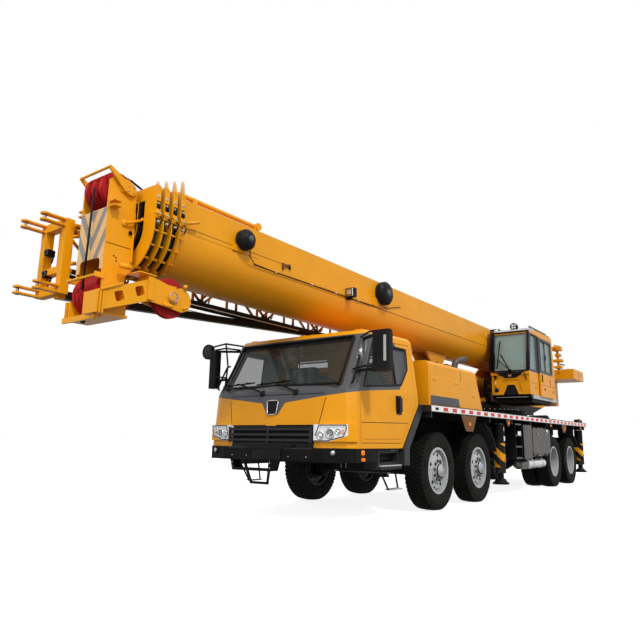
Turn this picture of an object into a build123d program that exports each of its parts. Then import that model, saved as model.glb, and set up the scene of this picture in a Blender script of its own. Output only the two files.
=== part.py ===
from build123d import *
import math
import os

# Four-axle truck crane, millimetres.  +X is forward, +Y is left, +Z is up, and the origin
# lies on the ground below the middle of the machine.  Stations along X are given from axle 1.

os.makedirs("parts", exist_ok=True)

# ---------------------------------------------------------------- running gear
AXLE_1 = 1775.0                        # X of the first axle
AXLE_2 = AXLE_1 - 1470.0
AXLE_3 = AXLE_1 - 5805.0
AXLE_4 = AXLE_1 - 7155.0
STEERED = [AXLE_1, AXLE_2]
DRIVEN = [AXLE_3, AXLE_4]
SIDES = [("left", 1), ("right", -1)]
TYRE_R = 540.0
TYRE_HALF = 132.0                      # half of the tread's width
TYRE_BULGE = 146.0                     # half of the widest part
BEAD_R = 300.0
RIM_HALF = 128.0
FLANGE = 10.0
FLANGE_R = 318.0
RIM_WALL = 14.0
OUTER_TRACK = 1060.0                   # Y of the outer tyres' middle
INNER_TRACK = 730.0                    # Y of the inner tyres' middle
HUB_PLANE = (OUTER_TRACK + INNER_TRACK) / 2
KINGPIN_Y = OUTER_TRACK - 210.0
KINGPIN_R = 30.0
SPINDLE_R = 45.0
DRIVE_SPINDLE_R = 60.0
RUN_FIT = 0.05                         # radial clearance of running fits
GAP = 8.0                              # clearance between pieces that move

# ---------------------------------------------------------------- chassis
RAIL_OUT = 440.0
RAIL_WIDE = 90.0
RAIL_LOW = 880.0
RAIL_TOP = 1256.0
RAIL_FRONT = AXLE_1 + 640.0
NOSE_FRONT = AXLE_1 + 1640.0            # low front members that carry the cab
NOSE_LOW = 650.0
CHASSIS_REAR = AXLE_1 - 8230.0
PLATE = 16.0
DECK_FRONT = AXLE_1 + 580.0
DECK_REAR = AXLE_1 - 8200.0
DECK_HALF = 1375.0
DECK_LOW = 1330.0
DECK_TOP = 1420.0
SLEW_X = AXLE_1 - 5400.0
RING_R = 720.0
RING_TOP = 1500.0
CAB_LOW = 850.0

# ---------------------------------------------------------------- outriggers
JACK_STATIONS = [("front", AXLE_1 - 2420.0), ("rear", AXLE_1 - 7985.0)]
BOX_HALF_X = 240.0
BOX_HALF_Y = 1120.0
BOX_LOW = 704.0
BOX_TOP = 1036.0
BEAM_WIDE = 200.0
BEAM_STEP = BEAM_WIDE / 2 + GAP        # beams lie side by side, this far from the box's middle
BEAM_INNER_END = 1200.0
JACK_Y = 1235.0
JACK_R = 95.0
JACK_LOW = 420.0
JACK_TOP = 1245.0
ROD_R = 55.0
FLOAT_R = 138.0
FLOAT_LOW = 240.0

# ---------------------------------------------------------------- boom
BOOM_STEP = 38.0                       # each section is this much smaller all round
BOOM_WALL = 12.0
BOOM_HALF = 410.0
BOOM_TOP = 3330.0
BOOM_ARC_Z = BOOM_TOP - 380.0          # middle of the rounded underside, and the heel's height
BOOM_REAR = AXLE_1 - 7250.0
BOOM_FRONT = AXLE_1 + 4200.0
COLLAR_PITCH = 100.0
COLLAR_LONG = 56.0
COLLAR_RISE = 18.0                     # ring round a section's front end
FLANGE_LONG = 12.0                     # its front flange
FLANGE_RISE = 44.0
RIB_ANGLES = [-8, -26, -44, -62, -80]
HEEL_X = AXLE_1 - 6900.0
HEEL_PIN_R = 60.0
HEEL_CLEAR = 60.0                      # from the heel's axis to the innermost sections' rear ends
LUFF_EYE = (AXLE_1 - 2200.0, 2340.0)   # X, Z of the cylinder's pin on the boom
LUFF_BASE = (AXLE_1 - 5500.0, 2150.0)  # X, Z of the cylinder's pin on the turntable
BARREL_R = 150.0
BARREL_LONG = 2600.0
HEAD_REAR = AXLE_1 + 4550.0
LUFF_ROD_R = 95.0
FIN_TOP = BOOM_TOP + 130.0


def finish(builder, node):
    """Label a finished piece and write its STEP file."""
    builder.part.label = node
    export_step(builder.part, "parts/" + node + ".step")


def side_plane(y):
    """Plane whose local x is world X and local y is world Z, facing -Y, at height y."""
    return Plane(origin=(0, y, 0), x_dir=(1, 0, 0), z_dir=(0, -1, 0))


def cross_plane(x):
    """Plane whose local x is world Y and local y is world Z, facing +X."""
    return Plane(origin=(x, 0, 0), x_dir=(0, 1, 0), z_dir=(1, 0, 0))


def wheel_plane(x, y):
    """Plane through a wheel's axis: local x runs along the axle, local y is the radius."""
    return Plane(origin=(x, y, TYRE_R), x_dir=(0, 1, 0), z_dir=(1, 0, 0))


# ================================================================= wheels
def tyre_solid(x, y):
    """One tyre about its own axle, revolved from bead, wall and crown."""
    with BuildPart() as tyre:
        with BuildSketch(wheel_plane(x, y)):
            with BuildLine():
                bead = RIM_HALF - FLANGE
                shoulder = TYRE_R - 12.0
                wall_r = BEAD_R + 95.0
                Line((-bead, BEAD_R), (bead, BEAD_R))
                Line((bead, BEAD_R), (bead, FLANGE_R))
                ThreePointArc((bead, FLANGE_R), (TYRE_BULGE, wall_r), (TYRE_HALF, shoulder))
                ThreePointArc((TYRE_HALF, shoulder), (0, TYRE_R), (-TYRE_HALF, shoulder))
                ThreePointArc((-TYRE_HALF, shoulder), (-TYRE_BULGE, wall_r), (-bead, FLANGE_R))
                Line((-bead, FLANGE_R), (-bead, BEAD_R))
            make_face()
        revolve(axis=Axis((x, y, TYRE_R), (0, 1, 0)))
    return tyre.part


def rim_barrel(x, y):
    """The flanged barrel that a tyre sits on."""
    with BuildPart() as barrel:
        with BuildSketch(wheel_plane(x, y)):
            with BuildLine():
                inner = BEAD_R - RIM_WALL
                Polyline(
                    (-RIM_HALF, inner), (RIM_HALF, inner), (RIM_HALF, FLANGE_R),
                    (RIM_HALF - FLANGE, FLANGE_R), (RIM_HALF - FLANGE, BEAD_R),
                    (FLANGE - RIM_HALF, BEAD_R), (FLANGE - RIM_HALF, FLANGE_R),
                    (-RIM_HALF, FLANGE_R), close=True)
            make_face()
        revolve(axis=Axis((x, y, TYRE_R), (0, 1, 0)))
    return barrel.part


FRONT_DISC = [                         # distance out along the axle, radius
    (52, 288), (96, 240), (104, 180), (120, 172), (120, 92), (150, 84), (158, 40), (158, 0)]
DISC_THICK = 12.0
HAND_HOLES = 5
HAND_HOLE_R = 26.0
HAND_HOLE_PCR = 212.0
DRUM_R = 215.0
DRUM_WALL = 20.0
HUB_R = 92.0
HUB_INNER = -95.0                      # inner end of hub and drum along the axle

for number, axle_x in enumerate(STEERED, start=1):
    for side, s in SIDES:
        y = s * OUTER_TRACK
        axis = Axis((axle_x, y, TYRE_R), (0, 1, 0))

        with BuildPart() as tyre:
            add(tyre_solid(axle_x, y))
        finish(tyre, f"tyre_{number}_{side}")

        with BuildPart() as wheel:
            add(rim_barrel(axle_x, y))
            with BuildSketch(wheel_plane(axle_x, y)):
                with BuildLine():
                    outside = [(s * a, r) for a, r in FRONT_DISC]
                    inside = [(s * (a - DISC_THICK), r) for a, r in reversed(FRONT_DISC)]
                    Polyline(*outside, *inside, close=True)
                make_face()
            revolve(axis=axis)
            with BuildSketch(wheel_plane(axle_x, y)):
                with BuildLine():
                    Polyline((s * HUB_INNER, 0), (s * 110, 0), (s * 110, HUB_R), (s * HUB_INNER, HUB_R),
                             close=True)
                make_face()
            revolve(axis=axis)
            with BuildSketch(wheel_plane(axle_x, y)):
                with BuildLine():
                    Polyline((s * HUB_INNER, DRUM_R - DRUM_WALL), (s * 98, DRUM_R - DRUM_WALL),
                             (s * 98, DRUM_R), (s * HUB_INNER, DRUM_R), close=True)
                make_face()
            revolve(axis=axis)
            with BuildSketch(Plane(origin=(axle_x, y + s * 70, TYRE_R), x_dir=(1, 0, 0), z_dir=(0, s, 0))):
                with PolarLocations(HAND_HOLE_PCR + 30, HAND_HOLES):
                    Circle(HAND_HOLE_R)
            extrude(amount=60, mode=Mode.SUBTRACT)
            with BuildSketch(Plane(origin=(axle_x, y + s * HUB_INNER, TYRE_R), z_dir=(0, s, 0))):
                Circle(SPINDLE_R + RUN_FIT)
            extrude(amount=140, mode=Mode.SUBTRACT)
        finish(wheel, f"wheel_{number}_{side}")

        # Steering knuckle: a fork about the axle's eye, its pin, a dust shield and the spindle.
        with BuildPart() as knuckle:
            with Locations((axle_x, s * (KINGPIN_Y + 82), TYRE_R)):
                Box(110, 24, 310)
            for level in (-132, 132):
                with Locations((axle_x, s * (KINGPIN_Y + 18), TYRE_R + level)):
                    Box(110, 152, 46)
            with Locations((axle_x, s * KINGPIN_Y, TYRE_R)):
                Cylinder(KINGPIN_R, 300)
            with BuildSketch(Plane(origin=(axle_x, s * (KINGPIN_Y + 84), TYRE_R), z_dir=(0, s, 0))):
                Circle(DRUM_R - DRUM_WALL - GAP)
            extrude(amount=10)
            with BuildSketch(Plane(origin=(axle_x, s * (KINGPIN_Y + 84), TYRE_R), z_dir=(0, s, 0))):
                Circle(SPINDLE_R)
            extrude(amount=160)
        finish(knuckle, f"knuckle_{number}_{side}")

DUAL_DISC = 16.0
for number, axle_x in enumerate(DRIVEN, start=3):
    for side, s in SIDES:
        with BuildPart() as tyres:
            add(tyre_solid(axle_x, s * OUTER_TRACK))
            add(tyre_solid(axle_x, s * INNER_TRACK))
        finish(tyres, f"tyres_{number}_{side}")

        axis = Axis((axle_x, 0, TYRE_R), (0, 1, 0))
        half_space = (OUTER_TRACK - INNER_TRACK) / 2
        with BuildPart() as wheels:
            for track in (OUTER_TRACK, INNER_TRACK):
                add(rim_barrel(axle_x, s * track))
            for out in (1, -1):
                with BuildSketch(wheel_plane(axle_x, s * HUB_PLANE)):
                    with BuildLine():
                        near = out * s * 1.0
                        Polyline((near * 0, HUB_R), (near * DUAL_DISC, HUB_R), (near * DUAL_DISC, 190),
                                 (near * (half_space - 60), BEAD_R - 4), (near * (half_space - 80), BEAD_R - 4),
                                 (near * 0, 190), close=True)
                    make_face()
                revolve(axis=axis)
            with BuildSketch(wheel_plane(axle_x, s * HUB_PLANE)):
                with BuildLine():
                    Polyline((s * -110, 0), (s * 130, 0), (s * 130, 70), (s * 118, 88), (s * 24, 96),
                             (s * 24, 130), (s * -24, 130), (s * -24, HUB_R), (s * -110, HUB_R), close=True)
                make_face()
            revolve(axis=axis)
            with BuildSketch(wheel_plane(axle_x, s * HUB_PLANE)):
                with BuildLine():
                    Polyline((0, DRUM_R), (s * -230, DRUM_R), (s * -230, DRUM_R - DRUM_WALL),
                             (0, DRUM_R - DRUM_WALL), close=True)
                make_face()
            revolve(axis=axis)
            with BuildSketch(Plane(origin=(axle_x, s * (HUB_PLANE - 110), TYRE_R), z_dir=(0, s, 0))):
                Circle(DRIVE_SPINDLE_R + RUN_FIT)
            extrude(amount=170, mode=Mode.SUBTRACT)
        finish(wheels, f"wheels_{number}_{side}")

# ================================================================= axles
SPRING_Y = RAIL_OUT - RAIL_WIDE / 2
SPRING_WIDE = 80.0
EYE_R = 52.0
with BuildPart() as axles:
    for axle_x in STEERED:
        with Locations((axle_x, 0, TYRE_R)):
            Box(110, 2 * KINGPIN_Y - 60, 110)
        for side, s in SIDES:
            with Locations((axle_x, s * KINGPIN_Y, TYRE_R)):
                Cylinder(EYE_R, 2 * (132 - 23 - GAP))
            with Locations((axle_x, s * KINGPIN_Y, TYRE_R)):
                Cylinder(KINGPIN_R + RUN_FIT, 400, mode=Mode.SUBTRACT)
    for axle_x in DRIVEN:
        axis = Axis((axle_x, 0, TYRE_R), (0, 1, 0))
        with BuildSketch(wheel_plane(axle_x, 0)):
            with BuildLine():
                Polyline((-HUB_PLANE - 30, 0), (-HUB_PLANE - 30, DRIVE_SPINDLE_R), (-700, DRIVE_SPINDLE_R),
                         (-700, 78), (-330, 78), (-190, 170))
                ThreePointArc((-190, 170), (0, 232), (190, 170))
                Polyline((190, 170), (330, 78), (700, 78), (700, DRIVE_SPINDLE_R),
                         (HUB_PLANE + 30, DRIVE_SPINDLE_R), (HUB_PLANE + 30, 0), (-HUB_PLANE - 30, 0))
            make_face()
        revolve(axis=axis)
    # Leaf springs: one under each rail at each steered axle, one between the driven axles.
    for middle, half, seat_z in [(AXLE_1, 520, 655), (AXLE_2, 520, 655), ((AXLE_3 + AXLE_4) / 2, 660, 690)]:
        for side, s in SIDES:
            with BuildSketch(side_plane(s * SPRING_Y + SPRING_WIDE / 2)):
                with BuildLine():
                    ends_z = RAIL_LOW - 70
                    ThreePointArc((middle - half, ends_z), (middle, seat_z), (middle + half, ends_z))
                    Line((middle + half, ends_z), (middle + half, ends_z + 30))
                    ThreePointArc((middle + half, ends_z + 30), (middle, seat_z + 110),
                                  (middle - half, ends_z + 30))
                    Line((middle - half, ends_z + 30), (middle - half, ends_z))
                make_face()
            extrude(amount=SPRING_WIDE)
            for end in (-1, 1):
                with Locations((middle + end * (half - 30), s * SPRING_Y, RAIL_LOW - 33)):
                    Box(70, SPRING_WIDE, 66)
    for axle_x in STEERED:
        for side, s in SIDES:
            with Locations((axle_x, s * SPRING_Y, 625)):
                Box(140, SPRING_WIDE, 100)
    for axle_x, end in [(AXLE_3, -1), (AXLE_4, 1)]:
        for side, s in SIDES:
            with Locations((axle_x + end * 60, s * SPRING_Y, 680)):
                Box(150, SPRING_WIDE, 170)
    for start, stop in [(AXLE_2 - 480, AXLE_3 + 200), (AXLE_3 - 200, AXLE_4 + 200)]:
        with Locations(((start + stop) / 2, 0, 600)):
            Cylinder(48, abs(start - stop), rotation=(0, 90, 0))
finish(axles, "axles")

# ================================================================= chassis frame
UNDERRUN_X = CHASSIS_REAR - 70.0
UNDERRUN_Z = 600.0
TOW_BORE_R = 25.0
ENGINE_FRONT = AXLE_1 + 300.0
ENGINE_REAR = AXLE_1 - 1000.0
ENGINE_HALF = 340.0
ENGINE_LOW = 960.0
ENGINE_TOP = 1850.0
with BuildPart() as chassis_frame:
    for side, s in SIDES:
        with Locations(((RAIL_FRONT + CHASSIS_REAR) / 2, s * (RAIL_OUT - RAIL_WIDE / 2),
                        (RAIL_LOW + RAIL_TOP) / 2)):
            Box(RAIL_FRONT - CHASSIS_REAR, RAIL_WIDE, RAIL_TOP - RAIL_LOW)
    box_front = AXLE_1 - 1900.0
    for level in (RAIL_LOW, RAIL_TOP - PLATE):
        with Locations(((box_front + CHASSIS_REAR) / 2, 0, level + PLATE / 2)):
            Box(box_front - CHASSIS_REAR, 2 * (RAIL_OUT - RAIL_WIDE), PLATE)
    for beam_x in [RAIL_FRONT - 60, ENGINE_FRONT - 150, ENGINE_REAR + 150, AXLE_1 - 1600]:
        with Locations((beam_x, 0, RAIL_LOW + 40)):
            Box(120, 2 * (RAIL_OUT - RAIL_WIDE), 80)
    for side, s in SIDES:
        with Locations(((RAIL_FRONT - 80 + NOSE_FRONT) / 2, s * (RAIL_OUT - RAIL_WIDE / 2),
                        (NOSE_LOW + CAB_LOW) / 2)):
            Box(NOSE_FRONT - RAIL_FRONT + 80, RAIL_WIDE, CAB_LOW - NOSE_LOW)
        with Locations((RAIL_FRONT - 40, s * (RAIL_OUT - RAIL_WIDE / 2), (NOSE_LOW + RAIL_TOP) / 2)):
            Box(80, RAIL_WIDE, RAIL_TOP - NOSE_LOW)
    for beam_x in [RAIL_FRONT + 300, NOSE_FRONT - 60]:
        with Locations((beam_x, 0, (NOSE_LOW + CAB_LOW) / 2)):
            Box(120, 2 * (RAIL_OUT - RAIL_WIDE), CAB_LOW - NOSE_LOW)
    # Transverse outrigger boxes, open at both ends for the beams.
    for name, box_x in JACK_STATIONS:
        with Locations((box_x, 0, (BOX_LOW + BOX_TOP) / 2)):
            Box(2 * BOX_HALF_X, 2 * BOX_HALF_Y, BOX_TOP - BOX_LOW)
    for name, box_x in JACK_STATIONS:
        with Locations((box_x, 0, (BOX_LOW + BOX_TOP) / 2)):
            Box(2 * (BOX_HALF_X - PLATE), 2 * BOX_HALF_Y + 40, BOX_TOP - BOX_LOW - 2 * PLATE,
                mode=Mode.SUBTRACT)
    # Pedestal of the slewing ring.
    with BuildSketch(Plane.XY.offset(RAIL_TOP - PLATE)):
        with Locations((SLEW_X, 0)):
            Circle(RING_R)
            Circle(RING_R - 90, mode=Mode.SUBTRACT)
    extrude(amount=RING_TOP - RAIL_TOP + PLATE)
    # End plate with the towing jaw, and the under-run bar on its two legs.
    with Locations((CHASSIS_REAR - 10, 0, 1080)):
        Box(60, 2 * RAIL_OUT, 240)
    for level in (1020, 1120):
        with Locations((CHASSIS_REAR - 90, 0, level)):
            Box(140, 160, 30)
    with Locations((CHASSIS_REAR - 105, 0, 1070)):
        Cylinder(TOW_BORE_R, 200, mode=Mode.SUBTRACT)
    with Locations((UNDERRUN_X, 0, UNDERRUN_Z)):
        Box(80, 2400, 120)
    for side, s in SIDES:
        with Locations(((CHASSIS_REAR - 60 + UNDERRUN_X + 40) / 2 + 10, s * 380, (UNDERRUN_Z + 1200) / 2)):
            Box(50, 60, 1200 - UNDERRUN_Z)
finish(chassis_frame, "chassis_frame")

with BuildPart() as engine:
    with Locations(((ENGINE_FRONT + ENGINE_REAR) / 2, 0, (ENGINE_LOW + ENGINE_TOP) / 2)):
        Box(ENGINE_FRONT - ENGINE_REAR, 2 * ENGINE_HALF, ENGINE_TOP - ENGINE_LOW)
finish(engine, "engine")

# ================================================================= deck
HOOD_FRONT = AXLE_1 + 380.0
HOOD_REAR_LOW = AXLE_1 - 1580.0
HOOD_REAR_TOP = AXLE_1 - 1290.0
HOOD_HALF = 1250.0
HOOD_TOP = 2060.0
SKIN = 30.0
SPARE_X = AXLE_1 - 7300.0
SPARE_TOP = 1575.0
with BuildPart() as deck:
    with Locations(((DECK_FRONT + DECK_REAR) / 2, 0, (DECK_LOW + DECK_TOP) / 2)):
        Box(DECK_FRONT - DECK_REAR, 2 * DECK_HALF, DECK_TOP - DECK_LOW)
    with Locations(((DECK_FRONT + DECK_REAR) / 2, 0, (DECK_LOW + DECK_TOP) / 2 - 20)):
        Box(DECK_FRONT - DECK_REAR - 60, 2 * (DECK_HALF - 30), DECK_TOP - DECK_LOW, mode=Mode.SUBTRACT)
    rib_count = 9
    rib_pitch = (DECK_FRONT - DECK_REAR - 200) / (rib_count - 1)
    for index in range(rib_count):
        with Locations((DECK_REAR + 100 + index * rib_pitch, 0, (RAIL_TOP + DECK_TOP) / 2)):
            Box(30, 2 * (DECK_HALF - 40), DECK_TOP - RAIL_TOP)
    with Locations((SLEW_X, 0, DECK_TOP)):
        Cylinder(RING_R + 10, 400, mode=Mode.SUBTRACT)
    with Locations((SPARE_X, 0, DECK_TOP)):
        Cylinder(TYRE_R + 10, 400, mode=Mode.SUBTRACT)
    with Locations(((ENGINE_FRONT + ENGINE_REAR) / 2, 0, DECK_TOP)):
        Box(ENGINE_FRONT - ENGINE_REAR + 120, 2 * ENGINE_HALF + 60, 400, mode=Mode.SUBTRACT)

# ================================================================= engine hood
with BuildPart() as engine_hood:
    with BuildSketch(side_plane(HOOD_HALF)):
        with BuildLine():
            Polyline((HOOD_FRONT, DECK_TOP), (HOOD_FRONT, HOOD_TOP), (HOOD_REAR_TOP, HOOD_TOP),
                     (HOOD_REAR_LOW, DECK_TOP), close=True)
        make_face()
    extrude(amount=2 * HOOD_HALF)
    fillet(engine_hood.edges().filter_by(GeomType.LINE).group_by(Axis.Z)[-1].filter_by(Axis.X), 60)
    with BuildSketch(side_plane(HOOD_HALF - SKIN)):
        with BuildLine():
            Polyline((HOOD_FRONT - SKIN, DECK_TOP), (HOOD_FRONT - SKIN, HOOD_TOP - SKIN),
                     (HOOD_REAR_TOP + SKIN, HOOD_TOP - SKIN), (HOOD_REAR_LOW + SKIN, DECK_TOP), close=True)
        make_face()
    extrude(amount=2 * (HOOD_HALF - SKIN), mode=Mode.SUBTRACT)

# ================================================================= driver's cab
CAB_REAR = AXLE_1 + 690.0
BELT = 1530.0
ROOF = 2310.0
CROWN = 40.0                           # chamfer round the roof
CAB_WALL = 60.0
DOOR_GAP = 6.0
#              X from axle 1, half-width: rear corner, door's front edge, front corner, hood seam, middle
CAB_LOWER = [(690, 1250), (2070, 1180), (2150, 1090), (2215, 780), (2260, 0)]
CAB_BELT = [(690, 1240), (2035, 1150), (2095, 1030), (2150, 780), (2185, 0)]
CAB_ROOF = [(700, 1150), (1640, 1080), (1705, 1050), (1725, 780), (1740, 0)]


def cab_ring(points, inset):
    """Closed plan outline through half of its corners and their mirror images."""
    first = points[0]
    left = [(AXLE_1 + x - (inset if x > 1000 else -inset), w - inset if w > 0 else 0) for x, w in points]
    right = [(x, -w) for x, w in reversed(left[:-1])]
    return left + right


def cab_solid(inset):
    """Lower body and glasshouse, each a straight-sided loft, set in by a wall's thickness."""
    levels = [(CAB_LOW + inset, CAB_LOWER, 0), (BELT, CAB_BELT, 0), (ROOF - CROWN - inset / 2, CAB_ROOF, 0),
              (ROOF - inset, CAB_ROOF, CROWN)]
    with BuildPart() as solid:
        for low, high in zip(levels, levels[1:]):
            for level, points, chamfered in (low, high):
                with BuildSketch(Plane.XY.offset(level)):
                    with BuildLine():
                        Polyline(*cab_ring(points, inset + chamfered), close=True)
                    make_face()
            loft(ruled=True)
    return solid.part


cab_outer = cab_solid(0)
cab_inner = cab_solid(CAB_WALL)

ARCH = [(650, 1400), (690, 1400), (1110, 850), (650, 850)]      # wheel arch below the cab's rear
DOOR_OUTLINE = [(760, 1400), (1130, 916), (1990, 916), (1975, 1530), (1660, 2190), (780, 2200)]
DOOR_WINDOW = [(890, 1880), (1080, 1660), (1880, 1590), (1605, 2130), (870, 2130)]
WIPE = 1300.0                          # beyond the cab's widest point
DOOR_DEPTH = 285.0


def cab_outline(points, grow, s=1):
    """Side-view outline given from axle 1, grown outward by a gap, to be extruded over one side."""
    with BuildSketch(side_plane(WIPE if s > 0 else DOOR_DEPTH - WIPE)) as outline:
        with BuildLine():
            Polyline(*[(AXLE_1 + x, z) for x, z in points], close=True)
        make_face()
        if grow:
            offset(amount=grow, kind=Kind.INTERSECTION)
    return outline.sketch


with BuildPart() as driver_cab:
    add(cab_outer)
    add(cab_inner, mode=Mode.SUBTRACT)
    extrude(cab_outline(ARCH, 0), amount=2 * WIPE, mode=Mode.SUBTRACT)
    for side, s in SIDES:
        extrude(cab_outline(DOOR_OUTLINE, DOOR_GAP, s), amount=DOOR_DEPTH, mode=Mode.SUBTRACT)
    # Windshield opening, cut square to the raked glass.
    rake = math.atan2(CAB_BELT[-1][0] - CAB_ROOF[-1][0], ROOF - BELT)
    glass_mid = (AXLE_1 + (CAB_BELT[-1][0] + CAB_ROOF[-1][0]) / 2, 0, (BELT + ROOF) / 2)
    glass_plane = Plane(origin=glass_mid, x_dir=(0, 1, 0), z_dir=(math.cos(rake), 0, math.sin(rake)))
    with BuildSketch(glass_plane):
        Trapezoid(1930, 720, 88)
    extrude(amount=200, both=True, mode=Mode.SUBTRACT)
    with BuildSketch(Plane(origin=(CAB_REAR, 0, 1930), x_dir=(0, 1, 0), z_dir=(1, 0, 0))):
        with Locations((-520, 0), (520, 0)):
            RectangleRounded(620, 380, 60)
    extrude(amount=100, both=True, mode=Mode.SUBTRACT)
finish(driver_cab, "driver_cab")

for side, s in SIDES:
    with BuildPart() as door:
        add(cab_outer)
        add(cab_inner, mode=Mode.SUBTRACT)
        extrude(cab_outline(DOOR_OUTLINE, 0, s), amount=DOOR_DEPTH, mode=Mode.INTERSECT)
        extrude(cab_outline(DOOR_WINDOW, 0, s), amount=DOOR_DEPTH, mode=Mode.SUBTRACT)
        with Locations((AXLE_1 + 1180, s * 1230, 1390)):
            Box(70, 60, 170)
    finish(door, f"driver_door_{side}")

GLASS = 8.0
with BuildPart() as cab_glass:
    with BuildSketch(glass_plane.offset(-34)):
        Trapezoid(1926, 716, 88)
    extrude(amount=-GLASS)
    with BuildSketch(Plane(origin=(CAB_REAR + 26, 0, 1930), x_dir=(0, 1, 0), z_dir=(1, 0, 0))):
        with Locations((-520, 0), (520, 0)):
            RectangleRounded(620, 380, 60)
    extrude(amount=GLASS)
finish(cab_glass, "cab_glass")

# Seats, dashboard and steering wheel.
FLOOR_Z = CAB_LOW + CAB_WALL
with BuildPart() as cab_interior:
    for side, s in SIDES:
        with Locations((AXLE_1 + 1180, s * 560, FLOOR_Z + 170)):
            Box(420, 400, 340)
        with Locations((AXLE_1 + 1200, s * 560, FLOOR_Z + 400)):
            Box(520, 520, 130)
        with Locations((AXLE_1 + 930, s * 560, FLOOR_Z + 760)):
            Box(120, 500, 640, rotation=(0, -8, 0))
    with Locations((AXLE_1 + 1940, 0, FLOOR_Z + 280)):
        Box(180, 1760, 560)
    with Locations((AXLE_1 + 1780, 560, FLOOR_Z + 620)):
        Torus(210, 16, rotation=(0, -55, 0))
        Cylinder(70, 30, rotation=(0, -55, 0))
        Box(30, 400, 24, rotation=(0, -55, 0))
        Cylinder(30, 300, align=(Align.CENTER, Align.CENTER, Align.MAX), rotation=(0, 35, 0))
finish(cab_interior, "cab_interior")

# Bumper with the grille's slats; lamps beside it.
BUMPER_LOW = 690.0
BUMPER_TOP = 900.0
with BuildPart() as front_bumper:
    with BuildSketch(Plane.XY.offset(BUMPER_LOW)):
        with BuildLine():
            Polyline((AXLE_1 + 1640, 1180), (AXLE_1 + 2090, 1180), (AXLE_1 + 2200, 1060), (AXLE_1 + 2270, 760),
                     (AXLE_1 + 2300, 0), (AXLE_1 + 2270, -760), (AXLE_1 + 2200, -1060),
                     (AXLE_1 + 2090, -1180), (AXLE_1 + 1640, -1180), close=True)
        make_face()
    extrude(amount=CAB_LOW - BUMPER_LOW)
    for level in (935, 1000, 1065):
        with Locations((AXLE_1 + 2275, 0, level)):
            Box(26, 1330, 30)
    for y in (-660, 0, 660):
        with Locations((AXLE_1 + 2275, y, 1000)):
            Box(26, 24, 190)
    # Folded step below the middle and the lower spoiler between the tow eyes.
    with BuildSketch(cross_plane(AXLE_1 + 2120)):
        with BuildLine():
            Polyline((-640, BUMPER_LOW), (-600, BUMPER_LOW - 130), (40, BUMPER_LOW - 130), (80, BUMPER_LOW),
                     (40, BUMPER_LOW), (10, BUMPER_LOW - 100), (-570, BUMPER_LOW - 100), (-600, BUMPER_LOW),
                     close=True)
        make_face()
    extrude(amount=150)
    add(cab_outer, mode=Mode.SUBTRACT)
finish(front_bumper, "front_bumper")

#            X from axle 1 and Y along the lamp's outer face, from the grille round to the side
LAMP_FACE = [(2262, 690), (2236, 800), (2172, 1104), (2080, 1200)]
LAMP_LOW = 925.0
LAMP_TOP = 1120.0
with BuildPart() as head_lamps:
    for side, s in SIDES:
        with BuildSketch(Plane.XY.offset(LAMP_LOW)):
            with BuildLine():
                Polyline(*[(AXLE_1 + x, s * y) for x, y in LAMP_FACE], (AXLE_1 + 2040, s * 1120),
                         (AXLE_1 + 2190, s * 690), close=True)
            make_face()
        extrude(amount=LAMP_TOP - LAMP_LOW)
    add(cab_outer, mode=Mode.SUBTRACT)
    with Locations((AXLE_1 + 2275, 0, 1000)):
        Box(26, 1330, 190, mode=Mode.SUBTRACT)
finish(head_lamps, "head_lamps")

# Mirrors: arms from the pillars, housings beside them.
#          X from axle 1, Y, width, low, top of each housing
MIRROR_SHELLS = [(2020, 1485, 230, 1720, 2200), (1960, -1340, 150, 1640, 2180)]
ROUND_MIRROR = (1960, -1490, 2180)
ROUND_MIRROR_R = 110.0
#            X from axle 1 of the arm's foot on the pillar, its Y, its height
MIRROR_ARMS = [(1735, 1050, 2160), (1945, 1080, 1740)]
with BuildPart() as mirrors:
    for shell_x, shell_y, wide, low, top in MIRROR_SHELLS:
        s = math.copysign(1, shell_y)
        with BuildSketch(Plane.XY.offset(low)):
            with Locations((AXLE_1 + shell_x, shell_y)):
                RectangleRounded(110, wide, 30)
        extrude(amount=top - low)
        for foot_x, foot_y, level in MIRROR_ARMS:
            with BuildSketch(Plane.XY.offset(level)):
                with BuildLine():
                    Polyline((AXLE_1 + foot_x - 15, s * foot_y), (AXLE_1 + shell_x - 15, shell_y),
                             (AXLE_1 + shell_x + 15, shell_y), (AXLE_1 + foot_x + 25, s * foot_y), close=True)
                make_face()
            extrude(amount=30)
    with Locations((AXLE_1 + ROUND_MIRROR[0], ROUND_MIRROR[1], ROUND_MIRROR[2])):
        Cylinder(ROUND_MIRROR_R, 40, rotation=(0, 90, 0))
    add(cab_outer, mode=Mode.SUBTRACT)
finish(mirrors, "mirrors")

# ================================================================= fenders
FENDER = 16.0
FENDER_Y = 1070.0
FENDER_HALF = 180.0
#          X of the axle, radius, first and last angle from the front
ARCS = [(AXLE_2, 700, 108, 160), (AXLE_3, 600, 25, 72), (AXLE_4, 590, 108, 150)]
#               X from axle 1, Z of the panel between the deck and the cab
FENDER_PANEL = [(580, 1425), (682, 1425), (682, 1400), (1098, 854), (1098, 640), (960, 640), (960, 840),
                (580, 1330)]
with BuildPart(mode=Mode.PRIVATE) as hood_and_panels:
    add(engine_hood.part)
    for side, s in SIDES:
        with BuildSketch(side_plane(s * FENDER_Y + FENDER_HALF)):
            with BuildLine():
                Polyline(*[(AXLE_1 + x, z) for x, z in FENDER_PANEL], close=True)
            make_face()
        extrude(amount=2 * FENDER_HALF)
with BuildPart() as deck_all:
    add(deck.part)
    add(hood_and_panels.part)
finish(deck_all, "deck")

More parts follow.
